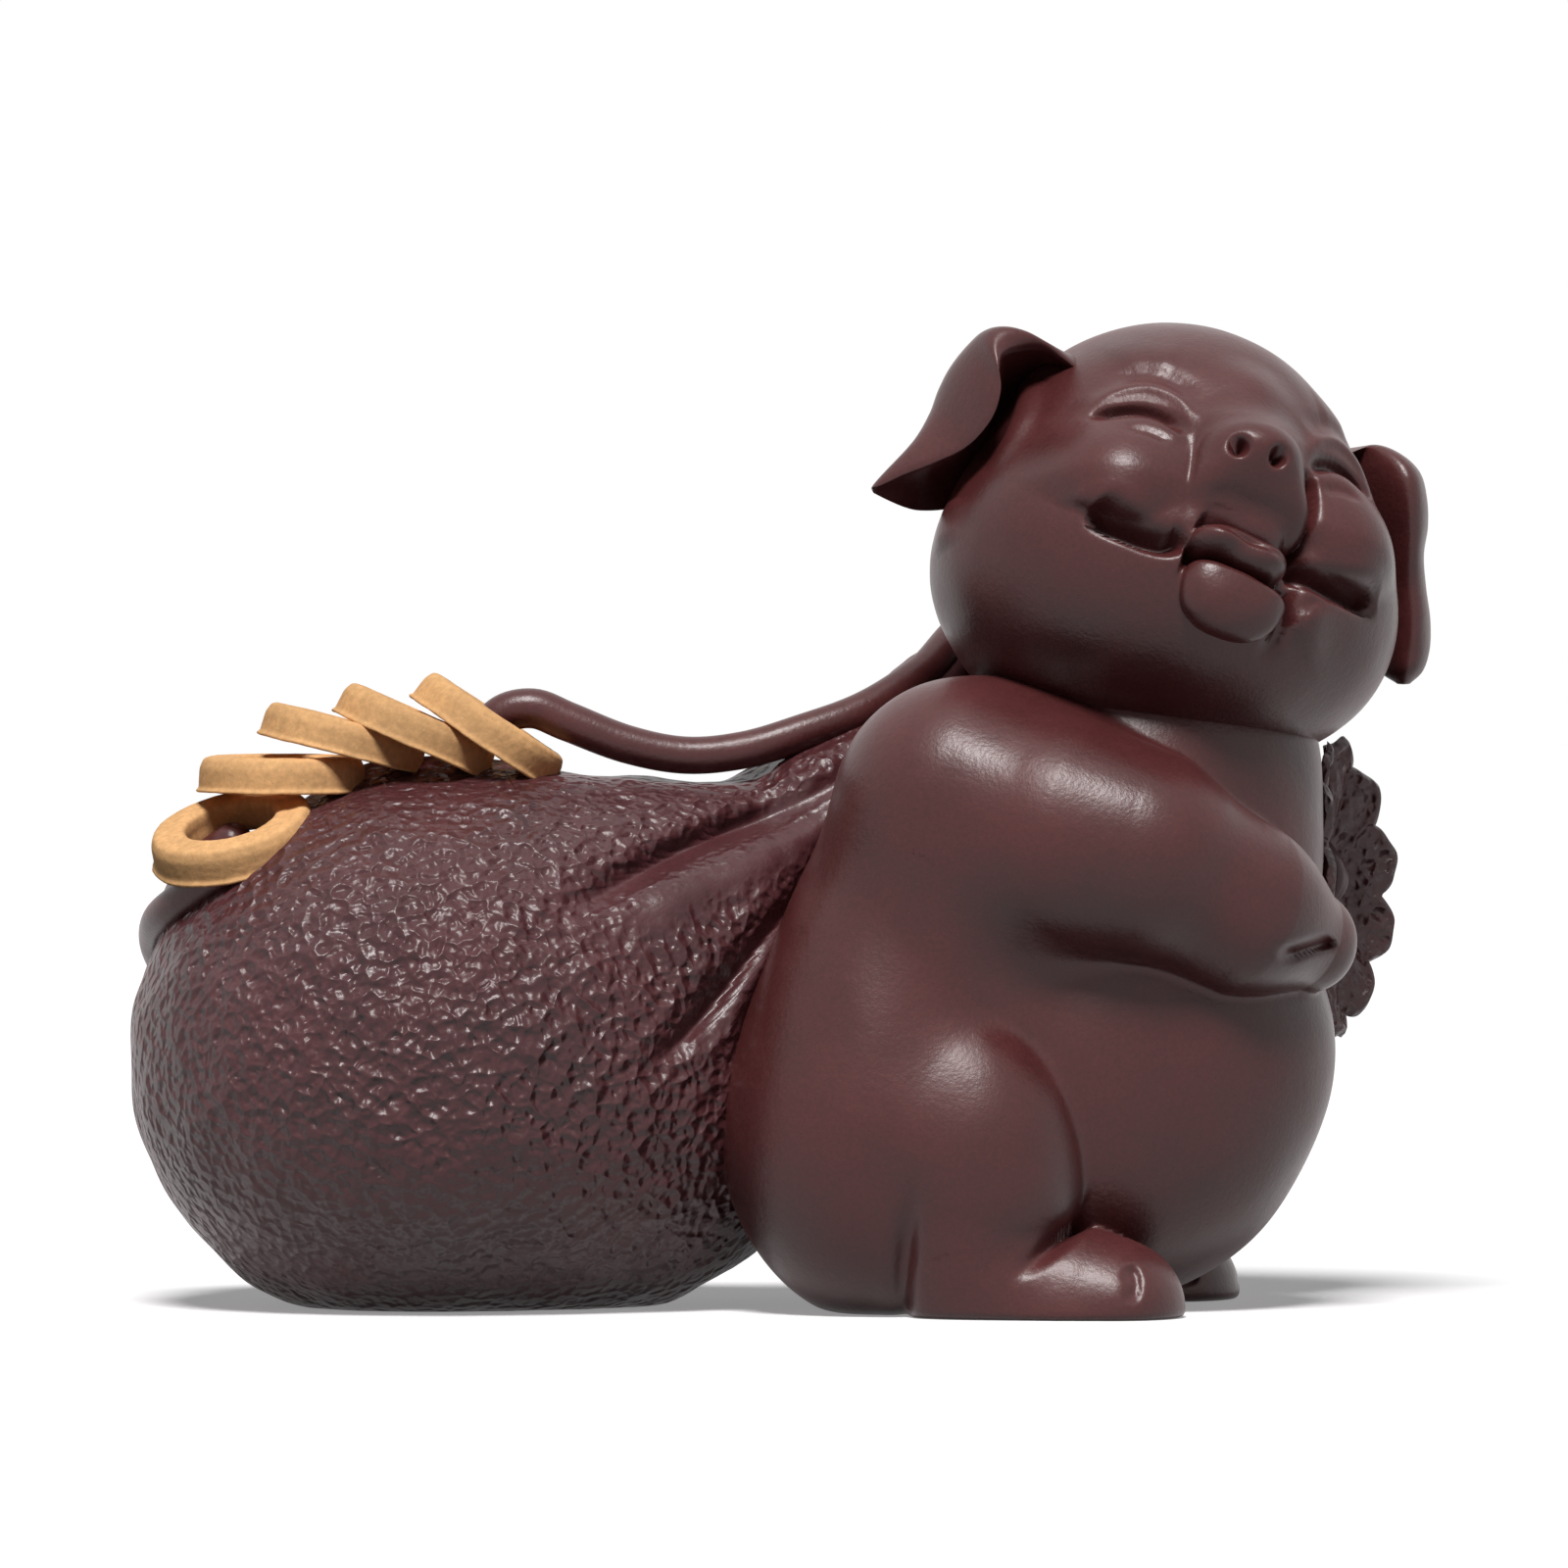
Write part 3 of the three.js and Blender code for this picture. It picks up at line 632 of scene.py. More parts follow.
def head_field():
    """Skull, jowls, cheeks and the bridge of the nose, then the eyes, the smile and the mouth."""
    skull = egg((0, 1.4, 0), (19.4, 19.5, 19.9))
    jowls = egg((0, -5.3, 0.5), (22, 15, 19.4))
    bridge = egg((FACE_MIDDLE, 4.6, 15.6), (3.6, 5, 4.6))
    near_cheek = hung(
        egg((-10.4, -4, 13), (6, 6.2, 6.8)), lambda left: -7.4 - 0.26 * (left + 14), 1
    )
    far_cheek = hung(
        egg((10.3, -3.8, 12.9), (5.8, 6, 6.8)), lambda left: -8.1 + 0.1 * (left - 10), 1
    )
    mass = blend([blend([skull, jowls], 4), bridge], 3)

    def with_cheeks(points):
        """The cheeks run softly into the face above and stand over the mouth below."""
        softness = 0.5 + 3 * swell_in(points[:, 1], -7.4, -3.4)
        with_near = soft_min(mass(points), near_cheek(points), softness)
        return soft_min(with_near, far_cheek(points), softness)

    marks = [mark(points, width, depth, 2, fade) for points, width, depth, fade in SKULL_MARKS]
    for side in SIDES.values():
        for points, width, depth, sharp in EYE_LINES.values():
            line = [(FACE_MIDDLE + side * (FACE_MIDDLE - left), up) for left, up in points]
            marks.append(face_mark(line, width, depth, (0.35, 0.25), sharp))
        marks.append(face_mark(SMILES[side], 0.85, 2.2, (0.2, 0.1)))
    marks += [face_mark(*line) for line in MOUTH_LINES.values()]
    marks += [mark(points, width, depth, 2, fade) for points, width, depth, fade in NEAR_EAR_MARKS]
    marks.append(hand_waves(5, 8, 0.05))
    return worked(with_cheeks, marks)


def lower_lip_field():
    """A flattened lobe that lies on the chin, cut off softly along the mouth."""
    lobe = egg((0, 0, 0), (5.1, 4.2, 2.7))
    slant = math.radians(17)
    down = np.array([(1, 0, 0), (0, math.cos(slant), -math.sin(slant)),
                     (0, math.sin(slant), math.cos(slant))])

    def field(points):
        over = points[:, 1] + 10.9 + 0.16 * points[:, 0]
        lying = (points - np.array([0.3, -12.3, 17.5])) @ down
        return -soft_min(-lobe(lying), -over, 0.9)

    return worked(field, [hand_waves(7, 4, 0.07)])


def tongue_field():
    """A flat lobe with a shallow furrow along its middle."""
    furrow = face_mark([(-4.2, -8), (0, -8.6), (4, -9.4)], 0.35, 0.3, (0.3, 0.3))
    near, far = egg((-2.3, -8.5, 18), (2.9, 1.5, 3.9)), egg((1.6, -9.2, 18), (2.9, 1.8, 3.9))
    return worked(blend([near, far], 2), [furrow])


def face_fields():
    """The head's parts in order. The snout runs softly into the brow and stands off beside it."""
    parts = [head_field(), muzzle_field(), lower_lip_field(), tongue_field()]
    softness = [lambda p: 0.7 + 2.6 * swell_in(p[:, 1], 0, 3.8) + 0.5 * swell_in(-p[:, 0], 0, 3),
                0.5, 0.3]
    return parts, softness


# The ears, in the head's frame. The near one is seen on its outer face and folds over its rim; the
# far one faces the viewer with its broad inner side.

EARS = {
    "right": {
        "rim": [(-13.5, 9.5, 9), (-18.6, 10.6, 9.4), (-22.2, 8.8, 10), (-22.7, 7.2, 10.4),
                (-22.2, 5.3, 10.1), (-22.1, 3.3, 9.1), (-22.5, 1.8, 7.6), (-23.3, 0.7, 5.6),
                (-24.9, -0.2, 3.5), (-27, -1.2, 1.1), (-28.9, -2.6, -1.4)],
        "crest": [(-13.6, 12.4, 6), (-17.4, 11.7, 7.4), (-19.4, 11.9, 7.4), (-21, 11.9, 6.8),
                  (-22.5, 11.6, 5), (-23.5, 10.5, 3.6), (-24.3, 8.9, 2.5), (-24.7, 7.1, 1.4),
                  (-25, 4.8, 0.7), (-26.1, 1.5, -0.1), (-28.8, -2.5, -1.9)],
        "back": [(-12, 13.4, 2), (-13, 13, 0), (-13.8, 12, -2), (-14.3, 10.4, -4),
                 (-14.8, 8.4, -4.8), (-15.8, 5, -5.1), (-18.6, 1, -4.9), (-23.6, -1.9, -3.6),
                 (-28.5, -2.8, -2)],
    },
    "left": {
        "rim": [(13.5, 12.4, 5), (16.2, 13.2, 6.1), (18.6, 12.6, 6.9), (20.8, 11.4, 7),
                (22.2, 9.7, 6), (23.2, 7.5, 4.7), (23.7, 5.3, 3.2), (24.9, 2.9, 1.9),
                (26.1, 0.2, 1.1), (26.6, -2.6, 0.6), (26.4, -4.6, 0), (25.6, -5.8, -0.7)],
        "crest": [(13, 11, 6), (15, 12, 7.2), (16.6, 10.4, 9.2), (17.8, 8.5, 10), (18.8, 6.6, 9.6),
                  (19.9, 4.5, 8.2), (20.9, 2.5, 6.6), (22, 0.6, 4.8), (23.2, -1.8, 3.4),
                  (24, -4, 2), (24.5, -5.4, 1), (25, -6.1, -0.6)],
        "back": [(12, 12, 2), (13.5, 12.4, 2.4), (14.4, 11.6, 2.4), (15.2, 10.1, 2),
                 (16.4, 7.9, 0.6), (17.6, 5.8, -0.7), (19.3, 2.8, -2.2), (20.8, 0.1, -3.1),
                 (22.4, -2.2, -3.2), (23.1, -4.4, -2.6), (24.6, -5.9, -1.3)],
    },
}
EAR_THICKNESS = 1.3


def ear_rings(name):
    """A fleshy leaf. Along u, from root to tip, run three rails. The outer face goes across from
    the rim over the crest to the back as a parabola through them, with v as its share; the inner
    face goes back nearly straight. A full turn of w makes both: v is half of one less its cosine,
    and the faces stand apart besides by half the thickness times the root of its sine."""
    rows, columns = round(160 * DETAIL), round(120 * DETAIL)
    front, crest, back = (smooth_path(rail, rows - 1)[:, None] for rail in EARS[name].values())
    u = np.linspace(0, 1, rows)[:, None, None]
    w = round_turn(columns)
    v = ((1 - np.cos(w)) / 2)[None, :, None]
    outer = front * (1 - v) * (1 - 2 * v) + crest * 4 * v * (1 - v) + back * v * (2 * v - 1)
    straight = front * (1 - v) + back * v
    middle = np.where(w[None, :, None] < np.pi, outer, straight + 0.3 * (outer - straight))
    stand = crest - (front + back) / 2
    stand /= np.maximum(np.linalg.norm(stand, axis=2, keepdims=True), 1e-6)
    bulge = np.sign(np.sin(w)) * np.abs(np.sin(w)) ** 0.5
    thin = EAR_THICKNESS * np.sqrt(np.clip((1 - u) * 6, 0, 1))
    rings = middle + stand * thin * (bulge[None, :, None] - 0.3) / 2
    return rings, np.stack([rings[0].mean(0), rings[-1].mean(0)])


# The sack, in the figure's frame.

NECK_PATH = smooth_path([(5, 5, 46), (11, 9, 52), (18, 16, 58.4), (28, 22.5, 58.5),
                         (38.5, 21.5, 52), (45, 16.8, 44.8), (48.4, 11.6, 40.2)], 30)
NECK_RADII = [7.6, 6, 5.2, 5, 4.8, 4.4, 3.9]
NEAR_CREASES = [
    # points (x, z), width, depth, sharpness
    ([(14, 56.5), (7, 51), (0, 47), (-9, 43.4), (-18, 38.8), (-22.5, 36.6)], 1.3, 1.9, 1.6),
    ([(8, 49), (3.5, 42), (-2, 35), (-8, 27.6), (-14, 21.8)], 1.2, 1.9, 1.5),
    ([(5.5, 44), (1, 37), (-2.5, 29), (-5, 20)], 1.1, 1.3, 1.6),
]
NEAR_FOLDS = [
    ([(9, 50), (1, 44), (-8, 39.8), (-18, 34.6)], 1.9, -1.0, 2),
    ([(6.5, 46), (0.5, 38), (-5, 30), (-11, 23)], 1.2, -0.9, 1.8),
]
FAR_CREASES = [
    ([(12, 55), (4, 50), (-6, 46), (-16, 40), (-24, 35)], 1.4, 1.6, 1.6),
    ([(6, 46), (0, 38), (-6, 30), (-13, 22)], 1.3, 1.6, 1.6),
]
FOLDS = {-1: NEAR_CREASES + NEAR_FOLDS, 1: FAR_CREASES}
SACK_SWELL = [(-50, 0, 12), (-46, 0, 6)]  # low at the back, where the bag bulges over the table
SACK_SPINE = [(-33, 0, 25), (-17, 1.5, 28), (-5, 3, 36), (6, 6, 45)]
SACK_MIDDLE = np.array([-28.0, 0, 25])


def neck_field():
    """The gathered neck: the distance from its path, less a radius with six pleats round it."""
    across, over = beside_run(NECK_PATH)
    measure = along(NECK_PATH)
    steps = len(NECK_PATH) - 1

    def field(points):
        distance, share = measure(points)
        nearest = np.clip(np.round(share * steps).astype(int), 0, steps)
        off = points - NECK_PATH[nearest]
        turn = np.arctan2((off * over[nearest]).sum(1), (off * across[nearest]).sum(1))
        radius = np.interp(share, np.linspace(0, 1, len(NECK_RADII)), NECK_RADII)
        pleat = 0.55 * np.cos(6 * turn + 2 * share) + 0.2 * np.cos(11 * turn - 5 * share)
        return distance - radius - pleat

    return field


def sack_mass():
    """A full bag that narrows towards the shoulder, with the folds that gather at its neck."""
    bag = egg((-32, 0, 24.6), (28.2, 26, 25.6))
    front = egg((-15, 2, 24.4), (20, 18, 22.6))
    top = bar([((-21, 1, 32.4), 14.6), ((-5, 2, 36.6), 11), ((4, 4.5, 43.2), 8.2),
               ((11, 8, 49.6), 6.4)], 4)
    crown = egg((-33, 6, 44), (11, 9, 7.6))
    marks = [
        side_mark(line, width, depth, (0.05, 0.35), side, sharp)
        for side, folds in FOLDS.items()
        for line, width, depth, sharp in folds
    ]
    marks += [hand_waves(11, 7, 0.16), hand_waves(12, 3, 0.05)]
    marks.append(mark(SACK_SWELL, 8, -0.6, 2, (0, 0)))
    return worked(blend([blend([bag, front, top], 9), crown], 5), marks)


def sack_fields():
    """The bag and the neck, run softly together."""
    return [sack_mass(), neck_field()], [4]


def smoothed_by_creases(points):
    """How far the folds have rubbed out the sack's pits: one at a crease, nought 3 mm off."""
    level = np.zeros(len(points))
    for side, folds in FOLDS.items():
        for line, width, _, _ in folds:
            distance, share = along(smooth_path(line, 16))(points[:, [0, 2]])
            near = np.exp(-((distance / (1.1 * width)) ** 2)) * swell_in(1 - share, 0, 0.25)
            level = np.maximum(level, near * (points[:, 1] * side > 0))
    return np.maximum(level, swell_in(points[:, 0], 2, 12))


FRILL_RUN = unit(np.array([0.9, -0.43, 0]))
TIE_RADIUS = 4.3
FRILL_HALF_HEIGHT, FRILL_HALF_WIDTH = 13.6, 7.8
FRILL_DEPTH, FRILL_HOLLOW = 5.4, 2.6  # from the tie to its edge, and how much less at the sides
FRILL_WALL = 1.6
LOBE_HEIGHT, RIDGE_HEIGHT = 1.3, 0.22


def frill_rings():
    """The sack's mouth: sections from the tie outwards that grow into an ellipse, then back inside
    it a wall's thickness in, so that the whole is one closed skin. The edge has round lobes: its
    half axes grow by the height of a lobe times the size of the sine of half their angle."""
    columns, rows = round(330 * DETAIL), round(34 * DETAIL)
    up = unit(np.array([0, 0, 1]) - FRILL_RUN * FRILL_RUN[2])
    across = np.cross(up, FRILL_RUN)
    edge = 5
    share = np.concatenate([np.linspace(0, 1, rows), np.ones(edge), np.linspace(1, 0.3, rows)])
    turn_in = (1 - np.cos(np.linspace(0, np.pi, edge + 2)[1:-1])) / 2
    inset = np.concatenate([np.zeros(rows), turn_in, np.ones(rows)]) * FRILL_WALL
    beyond = np.concatenate([np.zeros(rows), np.sin(turn_in * np.pi), np.zeros(rows)]) * 0.6
    share, inset, beyond = share[:, None], inset[:, None], beyond[:, None]
    turn = round_turn(columns)[None]
    flare = share**1.4
    lobe = np.abs(np.sin(5.5 * turn + 0.4 + 0.2 * np.sin(2 * turn))) ** 0.8 - 0.6
    ridge = np.cos(24 * turn + 2 * np.sin(3 * turn))
    wave = flare * (LOBE_HEIGHT * lobe + RIDGE_HEIGHT * ridge)
    high = TIE_RADIUS + (FRILL_HALF_HEIGHT - TIE_RADIUS) * flare - inset + wave
    wide = TIE_RADIUS + (FRILL_HALF_WIDTH - TIE_RADIUS) * flare - inset + wave
    depth = FRILL_DEPTH - FRILL_HOLLOW * flare * np.sin(turn) ** 2
    on = depth * share + beyond + flare * 1.2 * lobe
    rings = (
        NECK_PATH[-1] - 0.4 * up
        + on[..., None] * FRILL_RUN
        + (wide * np.cos(turn))[..., None] * across
        + (high * np.sin(turn))[..., None] * up
    )
    return rings, np.stack([rings[0].mean(0), rings[-1].mean(0)])


# The drawstring and the coins, in the figure's frame.

CORD_PATH = [
    (-28.4, 0.2, 52.6), (-27.3, 0.2, 54.5), (-25.6, 0.1, 56), (-23, 0, 56.4), (-19.9, 0, 55.2),
    (-14.4, 0, 53.1), (-9, 0.2, 52.1), (-3.6, 0.6, 52.6), (1.8, 1.6, 54.2), (7.2, 3.6, 56.2),
    (12.6, 7.6, 59.6), (17.6, 15, 64.2), (26, 24, 64), (36, 27, 58), (43, 24.4, 50.6),
    (47, 18, 45.4),
]
TAILS = {
    "drawstring_end_near": [(-46, -11, 43), (-51.6, -9.6, 41), (-55.8, -6, 38.6),
                            (-57.2, -0.5, 36.4), (-56, 6.5, 33.4), (-53, 13, 29.6),
                            (-49, 18.6, 25.2)],
    "drawstring_end_far": [(-49, -4, 45), (-53.2, -2.5, 42.8), (-55.8, 1, 40.4),
                           (-55.8, 6.5, 37.8), (-53.6, 12.4, 34.4), (-50, 17.4, 30.4),
                           (-45.6, 21.4, 26)],
}
# x, y, z, lean (right side down) and nod (top towards the viewer), from the drawstring outwards.
COINS = [
    (-27.1, 0.2, 54.5, 34, 0),
    (-33.8, -0.3, 54.5, 24, 0),
    (-40.5, 0.2, 53.8, 14, 0),
    (-46.2, -0.6, 50.4, 0, 2),
    (-50.4, -6, 44.8, -13, 21),
]


def cord_rings(path, radius):
    """A rolled coil of clay, whose radius swells and thins a little along it, with round ends."""
    steps = round(260 * DETAIL)
    line = smooth_path(path, steps)
    share = np.linspace(0, 1, steps + 1)
    length = np.linalg.norm(np.diff(line, axis=0), axis=1).sum()
    from_end = np.minimum(share, 1 - share) * length / radius
    round_end = np.sqrt(np.clip(1 - (1 - np.clip(from_end, 0, 1)) ** 2, 0.0004, 1))
    uneven = 1 + 0.035 * np.sin(9 * share + 1) + 0.02 * np.sin(23 * share)
    return tube(line, (radius * round_end * uneven)[:, None], round(36 * DETAIL))


def on_sack(points, radius):
    """Where lines from the sack's middle through the points meet it, a third of the radius out."""
    way = unit(np.array(points, float) - SACK_MIDDLE)
    met = follow(sack_mass(), np.broadcast_to(SACK_MIDDLE, way.shape), way, 70)
    return met + way * radius / 3


def coin_rings(seed, radius, thickness, hole):
    """A pressed ring. The profile goes round: up the outside with its draft, over the rounded top
    edge, down the hole and under. The whole profile is turned about the coin's axis, and its radius
    and height waver with the angle, most at the lower edge, where a thin burr was left."""
    chance = np.random.default_rng(seed)
    columns = round(240 * DETAIL)
    turn = round_turn(columns)
    half = thickness / 2
    profile = np.array([
        (radius - 0.5, -half), (radius + 0.05, -half - 0.02), (radius + 0.12, -half + 0.12),
        (radius - 0.1, -half + 0.4), (radius - 0.16, -0.5), (radius - 0.25, 0.6),
        (radius - 0.4, half - 0.6), (radius - 0.62, half - 0.2), (radius - 1.05, half),
        (radius - 1.9, half - 0.02), (hole + 0.5, half), (hole + 0.1, half - 0.2),
        (hole, half - 0.7), (hole + 0.05, 0), (hole + 0.1, -half + 0.5), (hole + 0.5, -half),
        ((radius + hole) / 2, -half), (radius - 0.5, -half),
    ])
    profile = smooth_path(profile, round(72 * DETAIL))[:-1]
    waves = np.array([3, 5, 8, 13, 21, 34])
    starts = chance.uniform(0, 2 * np.pi, (3, len(waves)))
    waver = [np.sin(turn[:, None] * waves + start) @ (1 / waves**0.7) for start in starts]
    low = np.exp(-((profile[:, 1] + half) / 0.3) ** 2)[:, None]
    outer = (profile[:, 0] > (radius + hole) / 2)[:, None]
    reach = profile[:, :1] + 0.035 * waver[0] + 0.09 * low * outer * np.maximum(waver[1], -0.3)
    height = profile[:, 1:] + 0.03 * waver[2] + 0.07 * low * outer * waver[1]
    return np.stack([reach * np.cos(turn), reach * np.sin(turn), height + 0 * turn], axis=-1)


def coin_turned(rings, x, y, z, lean, nod):
    """The coin tipped towards the viewer by its nod, leant about y, and set in place."""
    lean, nod = math.radians(lean), math.radians(nod)
    about_x = np.array([
        (1, 0, 0), (0, math.cos(nod), -math.sin(nod)), (0, math.sin(nod), math.cos(nod)),
    ])
    about_y = np.array([
        (math.cos(lean), 0, math.sin(lean)), (0, 1, 0), (-math.sin(lean), 0, math.cos(lean)),
    ])
    return rings @ (about_y @ about_x).T + np.array([x, y, z])


def ring_mesh(name, rings):
    """A mesh over rings that close both ways, as on a coin, with its faces turned outwards."""
    rows, columns = rings.shape[:2]
    index = np.arange(rows * columns).reshape(rows, columns)
    beside, above = np.roll(index, -1, axis=1), np.roll(index, -1, axis=0)
    across = np.roll(beside, -1, axis=0)
    quads = np.stack([index, beside, across, above], axis=-1).reshape(-1, 4)
    points = rings.reshape(-1, 3)
    if turned_in(points, quads):
        quads = quads[:, ::-1]
    mesh = bpy.data.meshes.new(name)
    mesh.from_pydata(((points + FIGURE_SHIFT) * MM).tolist(), [], quads.tolist())
    mesh.polygons.foreach_set("use_smooth", np.ones(len(quads), bool))
    mesh.validate()
    return in_scene(name, mesh)


# Clays.


BURNISHED = 0.42  # specular level of clay that was rubbed smooth
UNBURNISHED = 0.12


def feed(tree, node, inputs):
    """Each input, by name or number, takes a value, or a link where that is a node's output."""
    for key, value in inputs.items():
        if isinstance(value, bpy.types.NodeSocket):
            tree.links.new(value, node.inputs[key])
        else:
            node.inputs[key].default_value = value


def add_node(tree, kind, at, inputs=(), **values):
    """A node of that kind, with values for its properties, and its inputs fed."""
    node = tree.nodes.new(kind)
    node.location = at
    for key, value in values.items():
        setattr(node, key, value)
    feed(tree, node, dict(inputs))
    return node


def noise(tree, at, where, scale, detail, rough=0.5):
    """Noise with that many cells to the metre."""
    return add_node(tree, "ShaderNodeTexNoise", at, {
        "Vector": where, "Scale": scale, "Detail": detail, "Roughness": rough,
    })


def spread(tree, at, value, before, after):
    """A value brought from one range to another."""
    return add_node(tree, "ShaderNodeMapRange", at, {
        "Value": value, "From Min": before[0], "From Max": before[1],
        "To Min": after[0], "To Max": after[1],
    }).outputs["Result"]


def bump(tree, at, height, strength, distance, onto=None):
    """A relief of that height in metres, on top of another where one is given."""
    inputs = {"Height": height, "Strength": strength, "Distance": distance}
    if onto is not None:
        inputs["Normal"] = onto
    return add_node(tree, "ShaderNodeBump", at, inputs).outputs["Normal"]


def shade(colour, by):
    """A colour made lighter or darker by a factor."""
    return [*(min(1.0, channel * by) for channel in colour[:3]), 1.0]


def clay(name, settings, colour, rough, specular, pits=False, coarse=1.0):
    """Fired clay. Broad noise clouds its colour, fine noise gives it sandy grains, and both lift
    and sink its surface; the sack's clay has pits besides, which its creases rub out."""
    material = bpy.data.materials.get(name)
    if material:
        return material
    material = bpy.data.materials.new(name)
    material.use_nodes = True
    tree = material.node_tree
    where = add_node(tree, "ShaderNodeTexCoord", (-1500, 0)).outputs["Object"]
    clouds = noise(tree, (-1200, 300), where, 95.0, 5.0, 0.6).outputs["Fac"]
    grains = noise(tree, (-1200, 0), where, 2400.0 / coarse, 3.0, 0.65).outputs["Fac"]
    broad = noise(tree, (-1200, -600), where, 420.0, 4.0, 0.55).outputs["Fac"]
    specks = add_node(tree, "ShaderNodeTexVoronoi", (-1200, -300), {
        "Vector": where, "Scale": 900.0,
    }).outputs["Distance"]
    tone = add_node(tree, "ShaderNodeValToRGB", (-950, 300), {"Fac": clouds})
    dark, light = tone.color_ramp.elements
    dark.position, dark.color = 0.32, shade(colour, 0.86)
    light.position, light.color = 0.68, shade(colour, 1.13)
    sanded = add_node(tree, "ShaderNodeVectorMath", (-650, 250), {
        "Vector": tone.outputs["Color"],
        "Scale": spread(tree, (-950, 0), grains, (0.35, 0.68), (0.88, 1.14)),
    }, operation="SCALE")
    flecked = add_node(tree, "ShaderNodeMix", (-400, 250), {
        0: spread(tree, (-950, -300), specks, (0.06, 0.1), (0.35, 0.0)),
        6: sanded.outputs["Vector"],
        7: shade(colour, 1.9),
    }, data_type="RGBA")
    pressed = pit_relief(tree, settings, where) if pits else None
    uneven = bump(tree, (-450, -450), broad, 0.35, 0.00016, pressed)
    feed(tree, tree.nodes["Principled BSDF"], {
        "Base Color": flecked.outputs[2],
        "Roughness": spread(tree, (-650, -150), clouds, (0.3, 0.7), (rough - 0.05, rough + 0.07)),
        "Specular IOR Level": specular,
        "Normal": bump(tree, (-200, -300), grains, settings.grain, 0.00006 * coarse, uneven),
    })
    return material


def pit_relief(tree, settings, where):
    """Pits pressed into the sack: rounded cells whose places are jogged by noise, so that they run
    together in short worm-like strokes. The attribute smoothed fades them out at the creases."""
    jog = noise(tree, (-2100, -900), where, 600.0, 1.0)
    amount = add_node(tree, "ShaderNodeVectorMath", (-1900, -900), {
        "Vector": jog.outputs["Color"], "Scale": 0.0013,
    }, operation="SCALE")
    moved = add_node(tree, "ShaderNodeVectorMath", (-1700, -900), {
        0: where, 1: amount.outputs["Vector"],
    }, operation="ADD")
    cells = add_node(tree, "ShaderNodeTexVoronoi", (-1500, -900), {
        "Vector": moved.outputs["Vector"], "Scale": 1 / settings.pit_size, "Smoothness": 0.35,
    }, feature="SMOOTH_F1")
    wide = noise(tree, (-1500, -1200), where, 0.9 / settings.pit_size, 1.0)
    both = add_node(tree, "ShaderNodeMath", (-1250, -1000), {
        0: wide.outputs["Fac"], 1: 0.9, 2: cells.outputs["Distance"],
    }, operation="MULTIPLY_ADD")
    rubbed = add_node(tree, "ShaderNodeAttribute", (-1250, -1250), attribute_name="smoothed")
    kept = add_node(tree, "ShaderNodeMath", (-1050, -1250), {
        0: 1.0, 1: rubbed.outputs["Fac"],
    }, operation="SUBTRACT")
    height = add_node(tree, "ShaderNodeMath", (-850, -1000), {
        0: both.outputs["Value"], 1: kept.outputs["Value"],
    }, operation="MULTIPLY")
    return bump(tree, (-650, -900), height.outputs["Value"], 1.0, settings.pit_depth)


def purple_clay(context):
    """The pig's burnished clay."""
    settings = context.scene.pig_clay
    return clay("burnished_clay", settings, settings.pig_colour, settings.pig_roughness,
                BURNISHED)


def sack_clay(context):
    """The sack's pitted clay."""
    settings = context.scene.pig_clay
    return clay("pitted_clay", settings, settings.sack_colour, settings.pig_roughness,
                BURNISHED, pits=True)


def coin_clay(context):
    """The coins' unburnished yellow clay."""
    settings = context.scene.pig_clay
    return clay("yellow_clay", settings, settings.coin_colour, 0.75, UNBURNISHED, coarse=1.6)


# Settings.


class PigClaySettings(bpy.types.PropertyGroup):
    """The clays' colours and textures"""

    pig_colour: FloatVectorProperty(
        name="Pig", description="Colour of the pig's purple clay", subtype="COLOR",
        size=3, min=0, max=1, default=(0.082, 0.020, 0.0205))
    sack_colour: FloatVectorProperty(
        name="Sack", description="Colour of the sack's clay", subtype="COLOR",
        size=3, min=0, max=1, default=(0.078, 0.023, 0.026))
    coin_colour: FloatVectorProperty(
        name="Coins", description="Colour of the coins' yellow clay", subtype="COLOR",
        size=3, min=0, max=1, default=(0.78, 0.45, 0.205))
    pig_roughness: FloatProperty(
        name="Roughness", description="Roughness of the burnished clay", subtype="FACTOR",
        min=0, max=1, default=0.34)
    grain: FloatProperty(
        name="Grain", description="How strongly the sandy grain shows", subtype="FACTOR",
        min=0, max=1, default=0.55)
    pit_size: FloatProperty(
        name="Pit Size", description="Distance between the sack's pits", subtype="DISTANCE",
        unit="LENGTH", min=0.0003, max=0.01, precision=5, default=0.00125)
    pit_depth: FloatProperty(
        name="Pit Depth", description="Depth of the sack's pits", subtype="DISTANCE",
        unit="LENGTH", min=0, max=0.002, precision=5, default=0.00065)


class PigShapeSettings(bpy.types.PropertyGroup):
    """The sizes of the small pieces"""

    coin_radius: FloatProperty(
        name="Coin Radius", description="Outer radius of each coin", subtype="DISTANCE",
        unit="LENGTH", min=0.004, max=0.02, precision=4, default=0.0078)
    coin_thickness: FloatProperty(
        name="Coin Thickness", description="Thickness of each coin", subtype="DISTANCE",
        unit="LENGTH", min=0.001, max=0.008, precision=4, default=0.0032)
    coin_hole: FloatProperty(
        name="Coin Hole", description="Radius of the hole in each coin", subtype="DISTANCE",
        unit="LENGTH", min=0.001, max=0.01, precision=4, default=0.0042)
    cord_radius: FloatProperty(
        name="Cord Radius", description="Radius of the drawstring", subtype="DISTANCE",
        unit="LENGTH", min=0.0005, max=0.004, precision=5, default=0.00175)
    seed: IntProperty(
        name="Seed", description="Changes how the coins' edges waver", min=0, default=4)


